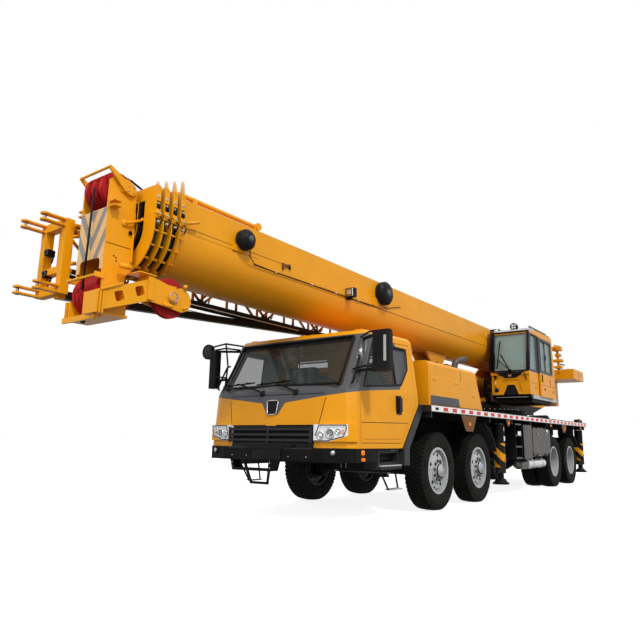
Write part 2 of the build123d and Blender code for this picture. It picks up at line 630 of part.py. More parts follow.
SKIRT_FRONT = AXLE_1 + 1630.0
SKIRT_REAR = AXLE_1 + 1110.0
SKIRT_LOW = 640.0
with BuildPart() as fenders:
    for side, s in SIDES:
        # Skirt below the door, with a step let into it.
        with Locations(((SKIRT_FRONT + SKIRT_REAR) / 2, s * 1080, (SKIRT_LOW + CAB_LOW) / 2)):
            Box(SKIRT_FRONT - SKIRT_REAR, 200, CAB_LOW - SKIRT_LOW)
        with Locations((AXLE_1 + 1370, s * 1180, 740)):
            Box(440, 200, 110, mode=Mode.SUBTRACT)
        with Locations((AXLE_1 + 1370, s * 1100, SKIRT_LOW - 20)):
            Box(500, 240, 40)
        for axle_x, radius, first, last in ARCS:
            with BuildSketch(side_plane(s * FENDER_Y + FENDER_HALF)):
                with BuildLine():
                    for ring in (radius, radius + FENDER):
                        CenterArc((axle_x, TYRE_R), ring, first, last - first)
                    for angle in (first, last):
                        c = math.cos(math.radians(angle))
                        d = math.sin(math.radians(angle))
                        Line((axle_x + radius * c, TYRE_R + radius * d),
                             (axle_x + (radius + FENDER) * c, TYRE_R + (radius + FENDER) * d))
                make_face()
            extrude(amount=2 * FENDER_HALF)
            top = first if first > 90 else last
            post_x = axle_x + (radius + FENDER / 2) * math.cos(math.radians(top))
            post_z = TYRE_R + (radius + FENDER / 2) * math.sin(math.radians(top))
            with Locations((post_x, s * FENDER_Y, (post_z + DECK_TOP - 20) / 2)):
                Box(16, 2 * FENDER_HALF, DECK_TOP - 20 - post_z)
finish(fenders, "fenders")

# ================================================================= tanks and boxes
#        X from axle 1, side, length, width, low, top
TANKS = [(-4400, 1, 900, 460, 670, 1250), (-3500, 1, 420, 440, 640, 1250), (-4000, -1, 1500, 440, 670, 1250)]
TANK_OUT = 1345.0
SILENCER_R = 85.0
with BuildPart() as tanks:
    for middle, s, long, wide, low, top in TANKS:
        with Locations((AXLE_1 + middle, s * (TANK_OUT - wide / 2), (low + top) / 2)):
            Box(long, wide, top - low)
        for end in (-1, 1):
            inner = TANK_OUT - wide
            with Locations((AXLE_1 + middle + end * (long / 2 - 70), s * (RAIL_OUT + inner) / 2, 1100)):
                Box(60, inner - RAIL_OUT, 140)
    for edge_z in (TANKS[0][4], TANKS[0][5]):
        round_edges = tanks.edges().filter_by(Axis.X).filter_by(lambda e: e.length > 800)
    fillet([e for e in round_edges if e.center().Y > 0], 70)
    with Locations((AXLE_1 - 4150, 1180, 530)):
        Cylinder(SILENCER_R, 1500, rotation=(0, 90, 0))
    for x in (-4700, -4100):
        with Locations((AXLE_1 + x, 1180, 600)):
            Box(40, 120, 140)
finish(tanks, "tanks")

with BuildPart() as spare_tyre:
    with BuildSketch(Plane(origin=(SPARE_X, 0, SPARE_TOP - TYRE_BULGE), x_dir=(0, 0, 1), z_dir=(0, 1, 0))):
        with BuildLine():
            Polyline((-146, 150), (146, 150), (146, 500), (120, 540), (-120, 540), (-146, 500), close=True)
        make_face()
    revolve(axis=Axis((SPARE_X, 0, 0), (0, 0, 1)))
finish(spare_tyre, "spare_tyre")

# ================================================================= outriggers
for name, box_x in JACK_STATIONS:
    for side, s in SIDES:
        beam_x = box_x + s * BEAM_STEP
        with BuildPart() as beam:
            with Locations((beam_x, s * (JACK_Y - BEAM_INNER_END) / 2, (BOX_LOW + BOX_TOP) / 2)):
                Box(BEAM_WIDE, JACK_Y + BEAM_INNER_END, BOX_TOP - BOX_LOW - 2 * PLATE - 2 * GAP)
            with Locations((beam_x, s * JACK_Y, (JACK_LOW + JACK_TOP) / 2)):
                Cylinder(JACK_R, JACK_TOP - JACK_LOW)
            with Locations((beam_x, s * JACK_Y, (JACK_LOW + JACK_TOP) / 2 - 20)):
                Cylinder(ROD_R + GAP, JACK_TOP - JACK_LOW, mode=Mode.SUBTRACT)
        finish(beam, f"outrigger_{name}_{side}")

        with BuildPart() as jack:
            with Locations((beam_x, s * JACK_Y, (FLOAT_LOW + JACK_TOP - 60) / 2)):
                Cylinder(ROD_R, JACK_TOP - 60 - FLOAT_LOW)
            with Locations((beam_x, s * JACK_Y, FLOAT_LOW)):
                Cylinder(FLOAT_R, 30, align=(Align.CENTER, Align.CENTER, Align.MIN))
            with Locations((beam_x, s * JACK_Y, FLOAT_LOW + 30)):
                Cone(FLOAT_R - 20, ROD_R + 20, 60, align=(Align.CENTER, Align.CENTER, Align.MIN))
        finish(jack, f"jack_{name}_{side}")

# ================================================================= turntable
OP_LOW = 1800.0
TT_PLATE = 30.0
TT_HALF = 470.0                        # outer face of the side plates
TT_INNER = TT_HALF - TT_PLATE
TT_LOW = RING_TOP + GAP
#          X from axle 1, Z: outline of a side plate
TT_SIDE = [(-4600, 1620), (-4600, 1900), (-5250, 2330), (-6500, 3090), (-6750, 3190), (-7050, 3190),
           (-7300, 3080), (-7600, 2970), (-8350, 2890), (-8350, 1950), (-6800, 1620)]
with BuildPart() as turntable:
    with Locations((SLEW_X, 0, TT_LOW)):
        Cylinder(RING_R + 20, 112, align=(Align.CENTER, Align.CENTER, Align.MIN))
    with Locations((AXLE_1 - 5750, 0, 1610)):
        Box(2300, 2 * TT_HALF, 40)
    for side, s in SIDES:
        with BuildSketch(side_plane(s * (TT_HALF - TT_PLATE / 2) + TT_PLATE / 2)):
            with BuildLine():
                Polyline(*[(AXLE_1 + x, z) for x, z in TT_SIDE], close=True)
            make_face()
        extrude(amount=TT_PLATE)
    with Locations((AXLE_1 - 4940, (TT_HALF + 1250) / 2, OP_LOW - 30)):
        Box(1300, 1250 - TT_HALF, 60)
    for at_x, at_z, wide, high in [(-4620, 1760, 40, 240), (-7560, 2080, 40, 600), (-8330, 2200, 40, 500)]:
        with Locations((AXLE_1 + at_x, 0, at_z)):
            Box(wide, 2 * TT_INNER, high)
    for at_x, at_z, radius in [(LUFF_BASE[0], LUFF_BASE[1], HEEL_PIN_R), (HEEL_X, BOOM_ARC_Z, HEEL_PIN_R)]:
        with Locations((at_x, 0, at_z)):
            Cylinder(radius, 2 * TT_HALF + 60, rotation=(90, 0, 0))
finish(turntable, "turntable")

#          X from axle 1, Z of each drum
WINCHES = [(-7760, 2760), (-8140, 2740)]
with BuildPart() as winches:
    for at_x, at_z in WINCHES:
        with Locations((AXLE_1 + at_x, 0, at_z)):
            Cylinder(60, 2 * TT_INNER, rotation=(90, 0, 0))
            Cylinder(130, 2 * TT_INNER - 80, rotation=(90, 0, 0))
        for y in (-380, 380):
            with Locations((AXLE_1 + at_x, y, at_z)):
                Cylinder(180, 24, rotation=(90, 0, 0))
finish(winches, "winches")

CW_REAR = AXLE_1 - 8600.0
CW_LOW = 2505.0
CW_TOP = 2755.0
CW_HALF = 1300.0
CW_FRONT = AXLE_1 - 7600.0
with BuildPart() as counterweight:
    with Locations(((CW_REAR + AXLE_1 - 8350) / 2, 0, (CW_LOW + CW_TOP) / 2)):
        Box(AXLE_1 - 8350 - CW_REAR, 2 * CW_HALF, CW_TOP - CW_LOW)
    for side, s in SIDES:
        with Locations(((CW_FRONT + CW_REAR) / 2, s * (CW_HALF + TT_HALF) / 2, (CW_LOW + CW_TOP) / 2)):
            Box(CW_FRONT - CW_REAR, CW_HALF - TT_HALF, CW_TOP - CW_LOW)
    with Locations(((CW_REAR + AXLE_1 - 8370) / 2, 0, (1890 + CW_TOP) / 2)):
        Box(AXLE_1 - 8370 - CW_REAR, 1260, CW_TOP - 1890)
finish(counterweight, "counterweight")

# ================================================================= operator's cab
OP_REAR = AXLE_1 - 5850.0
OP_FRONT = AXLE_1 - 4030.0
OP_IN = 520.0
OP_OUT = 1300.0
OP_TOP = 3270.0
OP_WALL = 50.0
OP_REAR_PANE_Z = 2450.0
OP_REAR_PANE_WIDE = 560.0
OP_REAR_PANE_HIGH = 280.0
OP_SIDE = [(-5850, 1800), (-5850, 2600), (-5760, 3220), (-5600, 3270), (-4300, 3270), (-4180, 3220),
           (-4030, 2350), (-4030, 1880), (-4130, 1800)]
OP_WINDOW = [(-4560, 2400), (-4560, 3120), (-4235, 3120), (-4100, 2400)]
OP_DOOR = [(-5560, 1870), (-5560, 3140), (-4640, 3140), (-4640, 1870)]
OP_DOOR_WINDOW = [(-5480, 2420), (-5480, 3060), (-4720, 3060), (-4720, 2420)]


def op_face(points, y, grow=0):
    """Side-view face of the operator's cab, given from axle 1."""
    with BuildSketch(side_plane(y)) as face:
        with BuildLine():
            Polyline(*[(AXLE_1 + x, z) for x, z in points], close=True)
        make_face()
        if grow:
            offset(amount=grow, kind=Kind.INTERSECTION)
    return face.sketch


with BuildPart() as operator_cab:
    extrude(op_face(OP_SIDE, OP_OUT), amount=OP_OUT - OP_IN)
    extrude(op_face(OP_SIDE, OP_OUT - OP_WALL, -OP_WALL), amount=OP_OUT - OP_IN - 2 * OP_WALL,
            mode=Mode.SUBTRACT)
    extrude(op_face(OP_DOOR, OP_OUT + 10, DOOR_GAP), amount=OP_WALL + 20, mode=Mode.SUBTRACT)
    extrude(op_face(OP_WINDOW, OP_OUT + 10), amount=OP_WALL + 20, mode=Mode.SUBTRACT)
    extrude(op_face(OP_WINDOW, OP_IN + OP_WALL + 10), amount=OP_WALL + 20, mode=Mode.SUBTRACT)
    with Locations((AXLE_1 - 4120, (OP_IN + OP_OUT) / 2, 2740)):
        Box(300, OP_OUT - OP_IN - 130, 800, mode=Mode.SUBTRACT)
    with BuildSketch(cross_plane(OP_REAR - 20)):
        with Locations(((OP_IN + OP_OUT) / 2, OP_REAR_PANE_Z)):
            Rectangle(OP_REAR_PANE_WIDE, OP_REAR_PANE_HIGH)
    extrude(amount=OP_WALL + 40, mode=Mode.SUBTRACT)
    # Two hand rails along the roof, the sill below the windshield and a round work lamp.
    for y in (OP_IN + 60, OP_OUT - 60):
        with Locations(((OP_REAR + OP_FRONT) / 2 - 20, y, OP_TOP + 42)):
            Box(1150, 24, 24)
        for x in (-5480, -4960, -4420):
            with Locations((AXLE_1 + x, y, OP_TOP + 20)):
                Box(24, 24, 40)
    with Locations((AXLE_1 - 4440, (OP_IN + OP_OUT) / 2, OP_TOP + 75)):
        Cylinder(75, 90, rotation=(0, 90, 0))
    with Locations((AXLE_1 - 4440, (OP_IN + OP_OUT) / 2, OP_TOP + 5)):
        Box(60, 60, 30)
    with Locations((OP_FRONT + 10, (OP_IN + OP_OUT) / 2, 2310)):
        Box(40, OP_OUT - OP_IN, 50)
    with BuildSketch(cross_plane(OP_FRONT - 16)):
        with Locations(((OP_IN + OP_OUT) / 2, 2060)):
            Trapezoid(480, 260, 75)
    extrude(amount=60, mode=Mode.SUBTRACT)
finish(operator_cab, "operator_cab")

# Panes set in the middle of the wall's thickness, each just smaller than its opening.
PANE_IN = 20.0
with BuildPart() as operator_glass:
    extrude(op_face(OP_SIDE, OP_OUT - 67, -PANE_IN), amount=OP_OUT - OP_IN - 134)
    extrude(op_face(OP_SIDE, OP_OUT, -PANE_IN - GLASS), amount=OP_OUT - OP_IN, mode=Mode.SUBTRACT)
    with Locations((AXLE_1 - 4120, (OP_IN + OP_OUT) / 2, 2740)):
        Box(290, OP_OUT - OP_IN - 134, 796, mode=Mode.INTERSECT)
    for y in (OP_OUT - PANE_IN, OP_IN + PANE_IN + GLASS):
        extrude(op_face(OP_WINDOW, y, -2), amount=GLASS)
    with BuildSketch(cross_plane(OP_REAR + PANE_IN)):
        with Locations(((OP_IN + OP_OUT) / 2, OP_REAR_PANE_Z)):
            Rectangle(OP_REAR_PANE_WIDE - 4, OP_REAR_PANE_HIGH - 4)
    extrude(amount=GLASS)
finish(operator_glass, "operator_glass")

# Seat, its column, the arm boxes with their levers, and the side console.
OP_SEAT = (AXLE_1 - 5080.0, (OP_IN + OP_OUT) / 2)
OP_FLOOR = 1800.0 + OP_WALL
with BuildPart() as operator_seat:
    with Locations((OP_SEAT[0], OP_SEAT[1], OP_FLOOR + 160)):
        Box(320, 300, 320)
    with Locations((OP_SEAT[0] + 10, OP_SEAT[1], OP_FLOOR + 385)):
        Box(500, 480, 130)
    with Locations((OP_SEAT[0] - 250, OP_SEAT[1], OP_FLOOR + 740)):
        Box(110, 460, 640, rotation=(0, -8, 0))
    with Locations((OP_SEAT[0] - 330, OP_SEAT[1], OP_FLOOR + 1110)):
        Box(90, 260, 180, rotation=(0, -8, 0))
    for s in (-1, 1):
        with Locations((OP_SEAT[0] + 60, OP_SEAT[1] + s * 285, OP_FLOOR + 480)):
            Box(420, 100, 160)
        with Locations((OP_SEAT[0] + 200, OP_SEAT[1] + s * 285, OP_FLOOR + 620)):
            Cylinder(14, 180)
finish(operator_seat, "operator_seat")

with BuildPart() as operator_door:
    extrude(op_face(OP_DOOR, OP_OUT + 40), amount=OP_WALL - 20)
    extrude(op_face(OP_DOOR_WINDOW, OP_OUT + 60), amount=OP_WALL + 40, mode=Mode.SUBTRACT)
finish(operator_door, "operator_door")

# ================================================================= boom
def boom_outline(section, outset=0.0):
    """Half-width, top and arc radius of a section's outside, grown by an outset."""
    half = BOOM_HALF - section * BOOM_STEP + outset
    top = BOOM_TOP - section * BOOM_STEP * 0.9 + outset
    return half, top


def boom_sketch(x, half, top):
    """U-shaped cross-section: a flat top on straight sides that close in a half circle below."""
    with BuildSketch(cross_plane(x)) as sketch:
        with BuildLine():
            Polyline((-half, BOOM_ARC_Z), (-half, top), (half, top), (half, BOOM_ARC_Z))
            ThreePointArc((half, BOOM_ARC_Z), (0, BOOM_ARC_Z - half), (-half, BOOM_ARC_Z))
        make_face()
    return sketch.sketch


def boom_tube(section):
    """A hollow section with its collar and rope fins at the front."""
    half, top = boom_outline(section)
    rear = BOOM_REAR if section == 0 else HEEL_X + HEEL_CLEAR + section * COLLAR_PITCH
    front = BOOM_FRONT + section * COLLAR_PITCH if section < 4 else HEAD_REAR
    with BuildPart() as tube:
        extrude(boom_sketch(rear, half, top), amount=front - rear)
        if section < 4:
            extrude(boom_sketch(front - COLLAR_LONG, BOOM_HALF + COLLAR_RISE, BOOM_TOP), amount=COLLAR_LONG)
            extrude(boom_sketch(front - FLANGE_LONG, BOOM_HALF + FLANGE_RISE, BOOM_TOP + COLLAR_RISE),
                    amount=FLANGE_LONG)
            for s in (-1, 1):
                for angle in RIB_ANGLES:
                    turned = math.radians(angle)
                    middle = BOOM_HALF + (COLLAR_RISE + FLANGE_RISE) / 2
                    with Locations(Location((front - COLLAR_LONG / 2, s * middle * math.cos(turned),
                                             BOOM_ARC_Z + middle * math.sin(turned)), (s * angle, 0, 0))):
                        Box(COLLAR_LONG, FLANGE_RISE - COLLAR_RISE + 10, 14)
                # Square lug at the upper corner and the tapered rope fin on it.
                with Locations((front - COLLAR_LONG / 2, s * (BOOM_HALF + 2), BOOM_TOP - 70)):
                    Box(COLLAR_LONG, 90, 150)
                with BuildSketch(cross_plane(front - COLLAR_LONG / 2 - 10)):
                    with BuildLine():
                        fin_top = FIN_TOP - section * BOOM_STEP
                        Polyline((s * 395, BOOM_TOP - 60), (s * 455, BOOM_TOP - 60), (s * 462, BOOM_TOP + 10),
                                 (s * 440, fin_top), (s * 416, fin_top), (s * 392, BOOM_TOP + 10), close=True)
                    make_face()
                extrude(amount=20)
                # Block of the sheave and pin gear at mid-height.
                with Locations((front - COLLAR_LONG / 2, s * (BOOM_HALF + 20), BOOM_ARC_Z + 105)):
                    Box(COLLAR_LONG, 70, 90)
        extrude(boom_sketch(rear - 10, half - BOOM_WALL, top - BOOM_WALL), amount=front - rear + 20,
                mode=Mode.SUBTRACT)
    return tube.part


with BuildPart() as boom_base:
    add(boom_tube(0))
    # Heel: cheeks with the pin's bore.
    with Locations((HEEL_X, 0, BOOM_ARC_Z)):
        Cylinder(HEEL_PIN_R + RUN_FIT, 1000, rotation=(90, 0, 0), mode=Mode.SUBTRACT)
    # Ears for the luffing cylinder.
    for s in (-1, 1):
        with BuildSketch(side_plane(s * 140 + 20)):
            with BuildLine():
                Polyline((LUFF_EYE[0] - 420, 2560), (LUFF_EYE[0] - 110, LUFF_EYE[1] - 110),
                         (LUFF_EYE[0] + 110, LUFF_EYE[1] - 110), (LUFF_EYE[0] + 420, 2560), close=True)
            make_face()
            with Locations(LUFF_EYE):
                Circle(60, mode=Mode.SUBTRACT)
        extrude(amount=40)
    # Guide tube of the hoist rope along the top's left edge, on two posts.
    with Locations((AXLE_1 + 3520, 290, BOOM_TOP + 95)):
        Cylinder(26, 1180, rotation=(0, 90, 0))
    for x in (2960, 3900):
        with Locations((AXLE_1 + x, 290, BOOM_TOP + 45)):
            Box(60, 60, 100)
    with Locations((AXLE_1 + 2930, 290, BOOM_TOP + 95)):
        Cylinder(46, 90, rotation=(90, 0, 0))
finish(boom_base, "boom_base")

# On the left flank: two cable reels and a floodlight; a guide tube above the left edge.
#        X from axle 1, Z, radius
REELS = [(3280, 3130, 115), (240, 3150, 180)]
REEL_DEEP = 150.0
GUIDE_Z = BOOM_TOP + 110.0
with BuildPart() as boom_fittings:
    for x, z, radius in REELS:
        axis = Axis((AXLE_1 + x, 0, z), (0, 1, 0))
        with BuildSketch(Plane(origin=(AXLE_1 + x, BOOM_HALF, z), x_dir=(0, 1, 0), z_dir=(1, 0, 0))):
            with BuildLine():
                Polyline((0, 0), (0, radius - 12), (20, radius), (REEL_DEEP - 50, radius),
                         (REEL_DEEP - 20, radius - 26), (REEL_DEEP, radius * 0.5), (REEL_DEEP, 0), close=True)
            make_face()
        revolve(axis=axis)
    with Locations((AXLE_1 + 1170, BOOM_HALF + 70, 2965)):
        Box(80, 140, 130)
    with Locations((AXLE_1 + 1160, BOOM_HALF + 40, 2890)):
        Box(40, 80, 40)
finish(boom_fittings, "boom_fittings")

for section in (1, 2, 3):
    with BuildPart() as boom_section:
        add(boom_tube(section))
    finish(boom_section, f"boom_section_{section + 1}")

HEAD_HALF = 215.0
HEAD_PLATE = 20.0
UPPER_SHEAVE = (AXLE_1 + 4710.0, 3280.0)
UPPER_R = 180.0
LOWER_SHEAVE = (AXLE_1 + 4690.0, 2250.0)
ARM_SHEAVE = (AXLE_1 + 4190.0, 2285.0)
ARM_Y = 335.0
LOWER_R = 200.0
SHEAVE_PIN_R = 40.0
#          X from axle 1, Z: outline of a side plate, and of the cheeks that carry the lower sheaves
HEAD_SIDE = [(4550, 2490), (4550, 3310), (4640, 3390), (4790, 3390), (4850, 3330), (4850, 2812), (4850, 2440),
             (4830, 2150), (4640, 2150), (4600, 2440)]
#         X from axle 1, Z: side of the auxiliary arm's box and of its sheave's cheek
ARM_BOX = [(4990, 2010), (4990, 2190), (4420, 2430), (4420, 2215)]
ARM_CHEEK = [(4440, 2200), (4440, 2440), (4250, 2400), (4150, 2400), (4090, 2160)]
ARM_END = (4080, 2280)
ARM_END_R = 120.0
with BuildPart() as boom_head:
    add(boom_tube(4))
    for s in (-1, 1):
        with BuildSketch(side_plane(s * (HEAD_HALF - HEAD_PLATE / 2) + HEAD_PLATE / 2)):
            with BuildLine():
                Polyline(*[(AXLE_1 + x, z) for x, z in HEAD_SIDE], close=True)
            make_face()
        extrude(amount=HEAD_PLATE)
        # Bracket of the upper guard bar and its boss.
        with BuildSketch(side_plane(s * 240 + 10)):
            with BuildLine():
                Polyline((AXLE_1 + 4590, 3300), (AXLE_1 + 4860, 3445), (AXLE_1 + 4895, 3430),
                         (AXLE_1 + 4700, 3250), close=True)
            make_face()
        extrude(amount=20)
        with Locations((AXLE_1 + 4640, s * (HEAD_HALF + 14), 3290)):
            Cylinder(60, 44, rotation=(90, 0, 0))
    with Locations((HEAD_REAR + 10, 0, 2830)):
        Box(20, 2 * HEAD_HALF + 20, 500)
    # Front plate: closed in its middle, open above and below for the sheaves.
    with BuildSketch(cross_plane(AXLE_1 + 4838)):
        with Locations((0, 2755)):
            Rectangle(2 * HEAD_HALF, 600)
        with Locations((0, 2455)):
            RectangleRounded(330, 230, 50, mode=Mode.SUBTRACT)
    extrude(amount=14)
    for at_x, at_z in (UPPER_SHEAVE, LOWER_SHEAVE):
        with Locations((at_x, 0, at_z)):
            Cylinder(SHEAVE_PIN_R, 2 * HEAD_HALF + 20, rotation=(90, 0, 0))
    for bar_x, bar_z, half in [(4878, 3440, 250), (4915, 2378, 230)]:
        with Locations((AXLE_1 + bar_x, 0, bar_z)):
            Cylinder(13, 2 * half, rotation=(90, 0, 0))
    for s in (-1, 1):
        with Locations((AXLE_1 + 4880, s * 222, 2385)):
            Box(90, 16, 50)
        # Pin lugs on both flanks for the jib.
        for at_x, at_z in [(4800, 3115), (4800, 3065)]:
            with Locations((AXLE_1 + at_x, s * (HEAD_HALF + 42), at_z)):
                Box(80, 90, 16)
    # Box below the lower sheaves, that the auxiliary arm is hinged to.
    with Locations((AXLE_1 + 4750, 0, 2025)):
        Box(270, 2 * HEAD_HALF + 200, 24)
    with Locations((AXLE_1 + 4875, 0, 2010)):
        Box(20, 2 * HEAD_HALF + 200, 50)
    for y in (-HEAD_HALF - 60, -HEAD_HALF + 4, HEAD_HALF - 4, HEAD_HALF + 60):
        with Locations((AXLE_1 + 4750, y, 2105)):
            Box(270, 16, 170)
    # Auxiliary arm, folded back along the left side.
    with BuildSketch(side_plane(ARM_Y + 65)):
        with BuildLine():
            Polyline(*[(AXLE_1 + x, z) for x, z in ARM_BOX], close=True)
        make_face()
        with Locations((AXLE_1 + 4770, 2185), (AXLE_1 + 4560, 2275)):
            RectangleRounded(90, 90, 18, rotation=-20, mode=Mode.SUBTRACT)
    extrude(amount=130)
    for y in (ARM_Y - 65, ARM_Y + 65):
        with BuildSketch(side_plane(y + 8)):
            with BuildLine():
                Polyline(*[(AXLE_1 + x, z) for x, z in ARM_CHEEK], close=True)
            make_face()
            with Locations((AXLE_1 + ARM_END[0], ARM_END[1])):
                Circle(ARM_END_R)
        extrude(amount=16)
        with Locations((ARM_SHEAVE[0], y, ARM_SHEAVE[1])):
            Cylinder(62, 30, rotation=(90, 0, 0))
    with Locations((ARM_SHEAVE[0], ARM_Y, ARM_SHEAVE[1])):
        Cylinder(SHEAVE_PIN_R, 130, rotation=(90, 0, 0))
    with Locations((AXLE_1 + 4445, ARM_Y, 2330)):
        Box(70, 156, 236)
    for x in (4935, 4965, 4995):
        with Locations((AXLE_1 + x, ARM_Y - 20, 2095)):
            Box(16, 200, 200)
finish(boom_head, "boom_head")

with BuildPart() as head_sheaves:
    for at, rim, ys in [(UPPER_SHEAVE, UPPER_R, (-120, 0, 120)),
                        (LOWER_SHEAVE, LOWER_R, (-150, -90, -30, 30, 90, 150)), (ARM_SHEAVE, LOWER_R, (ARM_Y,))]:
        for y in ys:
            with BuildSketch(Plane(origin=(at[0], y, at[1]), x_dir=(0, 1, 0), z_dir=(1, 0, 0))):
                with BuildLine():
                    Polyline((-24, SHEAVE_PIN_R), (24, SHEAVE_PIN_R), (24, rim), (7, rim - 30), (-7, rim - 30),
                             (-24, rim), close=True)
                make_face()
            revolve(axis=Axis((at[0], 0, at[1]), (0, 1, 0)))
finish(head_sheaves, "head_sheaves")

# Fly jib, stowed along the boom's right side: a tall base frame with forks at the front, the
# narrower lattice behind it, and a strut that rises from the frame's foot to the lattice.
JIB_Y = (-620.0, -1000.0)
JIB_Z = (2390.0, 3090.0)
JIB_FRONT = AXLE_1 + 4800.0
JIB_REAR = AXLE_1 - 2600.0
LATTICE_Y = (JIB_Y[0], JIB_Y[0] - 180.0)
LATTICE_Z = (JIB_Z[0] + 210.0, JIB_Z[1])
CHORD_R = 28.0
LACE = 26.0                            # side of the square lacing tubes
STRUT = 84.0
STRUT_RISE = 4200.0                    # length over which the strut meets the lower chords
JIB_TIP = AXLE_1 + 5050.0
JIB_BAYS = 12
JIB_PITCH = (JIB_FRONT - JIB_REAR - 160) / JIB_BAYS
POST = 90.0


def lace(start, stop, wide=LACE):
    """Square lacing tube between two points, world coordinates."""
    run = Vector(*stop) - Vector(*start)
    with BuildPart(Plane(origin=start, z_dir=run)) as tube:
        Box(wide, wide, run.length, align=(Align.CENTER, Align.CENTER, Align.MIN))
    return tube.part


with BuildPart() as fly_jib:
    for y in LATTICE_Y:
        for z in LATTICE_Z:
            with Locations(((JIB_FRONT - POST / 2 + JIB_REAR) / 2, y, z)):
                Cylinder(CHORD_R, JIB_FRONT - POST / 2 - JIB_REAR, rotation=(0, 90, 0))
    for index in range(JIB_BAYS + 1):
        x = JIB_REAR + 80 + index * JIB_PITCH
        for y in LATTICE_Y:
            add(lace((x, y, LATTICE_Z[0]), (x, y, LATTICE_Z[1])))
        for z in LATTICE_Z:
            add(lace((x, LATTICE_Y[0], z), (x, LATTICE_Y[1], z)))
    for index in range(JIB_BAYS):
        x = JIB_REAR + 80 + index * JIB_PITCH
        low, high = LATTICE_Z if index % 2 else reversed(LATTICE_Z)
        near, far = LATTICE_Y if index % 2 else reversed(LATTICE_Y)
        for y in LATTICE_Y:
            add(lace((x, y, low), (x + JIB_PITCH, y, high)))
        for z in LATTICE_Z:
            add(lace((x, near, z), (x + JIB_PITCH, far, z)))
    # Base frame: two square posts with cross members, and a fork at each corner.
    for y in JIB_Y:
        with Locations((JIB_FRONT - POST / 2, y, sum(JIB_Z) / 2)):
            Box(POST, POST, JIB_Z[1] - JIB_Z[0] + POST)
        for z in JIB_Z:
            for lift in (-32, 32):
                with BuildSketch(Plane.XY.offset(z + lift - 9)):
                    with Locations(((JIB_FRONT + JIB_TIP - 45) / 2, y)):
                        Rectangle(JIB_TIP - 45 - JIB_FRONT, 70)
                    with Locations((JIB_TIP - 45, y)):
                        Circle(45)
                        Circle(20, mode=Mode.SUBTRACT)
                extrude(amount=18)
    for z, high in [(JIB_Z[0], POST), (LATTICE_Z[0], 70), (JIB_Z[1], POST)]:
        with Locations((JIB_FRONT - POST / 2, sum(JIB_Y) / 2, z)):
            Box(POST, JIB_Y[0] - JIB_Y[1], high)
    strut_y = sum(LATTICE_Y) / 2
    add(lace((JIB_FRONT - POST / 2, strut_y, JIB_Z[0] - 40),
             (JIB_FRONT - STRUT_RISE, strut_y, LATTICE_Z[0] - 12), STRUT))
    for x in (JIB_REAR + 80 + 2 * JIB_PITCH, JIB_REAR + 80 + 9 * JIB_PITCH):
        with Locations((x, -(BOOM_HALF + 600) / 2, 2980)):
            Box(80, 600 - BOOM_HALF, 60)
        with Locations((x, -600, 3030)):
            Box(80, 60, 160)
finish(fly_jib, "fly_jib")

# ================================================================= luffing cylinder
luff_long = math.hypot(LUFF_EYE[1] - LUFF_BASE[1], LUFF_EYE[0] - LUFF_BASE[0])
luff_axis = Plane(origin=(LUFF_BASE[0], 0, LUFF_BASE[1]), x_dir=(0, 1, 0),
                  z_dir=(LUFF_EYE[0] - LUFF_BASE[0], 0, LUFF_EYE[1] - LUFF_BASE[1]))
with BuildPart() as luff_barrel:
    with BuildSketch(luff_axis.offset(120)):
        Circle(BARREL_R)
    extrude(amount=BARREL_LONG - 120)
    with BuildSketch(luff_axis.offset(200)):
        Circle(LUFF_ROD_R + GAP)
    extrude(amount=BARREL_LONG, mode=Mode.SUBTRACT)
    with Locations((LUFF_BASE[0], 0, LUFF_BASE[1])):
        Cylinder(130, 260, rotation=(90, 0, 0))
        Cylinder(HEEL_PIN_R + RUN_FIT, 400, rotation=(90, 0, 0), mode=Mode.SUBTRACT)
finish(luff_barrel, "luff_barrel")

with BuildPart() as luff_rod:
    with BuildSketch(luff_axis.offset(240)):
        Circle(LUFF_ROD_R)
    extrude(amount=luff_long - 240)
    with Locations((LUFF_EYE[0], 0, LUFF_EYE[1])):
        Cylinder(125, 200, rotation=(90, 0, 0))
finish(luff_rod, "luff_rod")
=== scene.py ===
"""Looks of the four-axle truck crane: metres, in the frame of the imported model.

A point given as a plain tuple is (station from axle 1, y, z); a Vector is a point of the frame itself.
"""
import math
import bmesh
import bpy
from mathutils import Matrix, Vector
from mathutils.bvhtree import BVHTree


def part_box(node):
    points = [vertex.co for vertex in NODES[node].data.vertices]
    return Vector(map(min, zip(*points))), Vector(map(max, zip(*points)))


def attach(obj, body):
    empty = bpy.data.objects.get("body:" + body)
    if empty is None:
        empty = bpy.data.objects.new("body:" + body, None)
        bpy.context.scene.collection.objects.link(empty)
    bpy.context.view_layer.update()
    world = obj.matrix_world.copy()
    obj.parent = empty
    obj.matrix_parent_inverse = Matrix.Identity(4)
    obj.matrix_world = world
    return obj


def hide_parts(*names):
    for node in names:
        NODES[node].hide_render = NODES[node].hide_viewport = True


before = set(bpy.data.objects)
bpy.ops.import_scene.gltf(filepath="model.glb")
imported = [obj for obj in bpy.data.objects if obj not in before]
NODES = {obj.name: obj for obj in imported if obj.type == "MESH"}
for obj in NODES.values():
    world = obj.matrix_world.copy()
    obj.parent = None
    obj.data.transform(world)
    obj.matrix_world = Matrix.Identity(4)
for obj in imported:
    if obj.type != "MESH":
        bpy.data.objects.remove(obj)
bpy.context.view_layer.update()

TYRE_LOW, TYRE_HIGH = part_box("tyre_1_left")
AXLE_1 = (TYRE_LOW.x + TYRE_HIGH.x) / 2
TYRE_R = (TYRE_HIGH.z - TYRE_LOW.z) / 2
TRACK = (TYRE_LOW.y + TYRE_HIGH.y) / 2
BOOM_Y = 0.41                                   # half of the boom's width
ARC_Z = 2.95                                    # middle of the boom's round underside
OP_Y = 0.91                                     # middle of the operator's cab
SIDES = (("left", 1), ("right", -1))
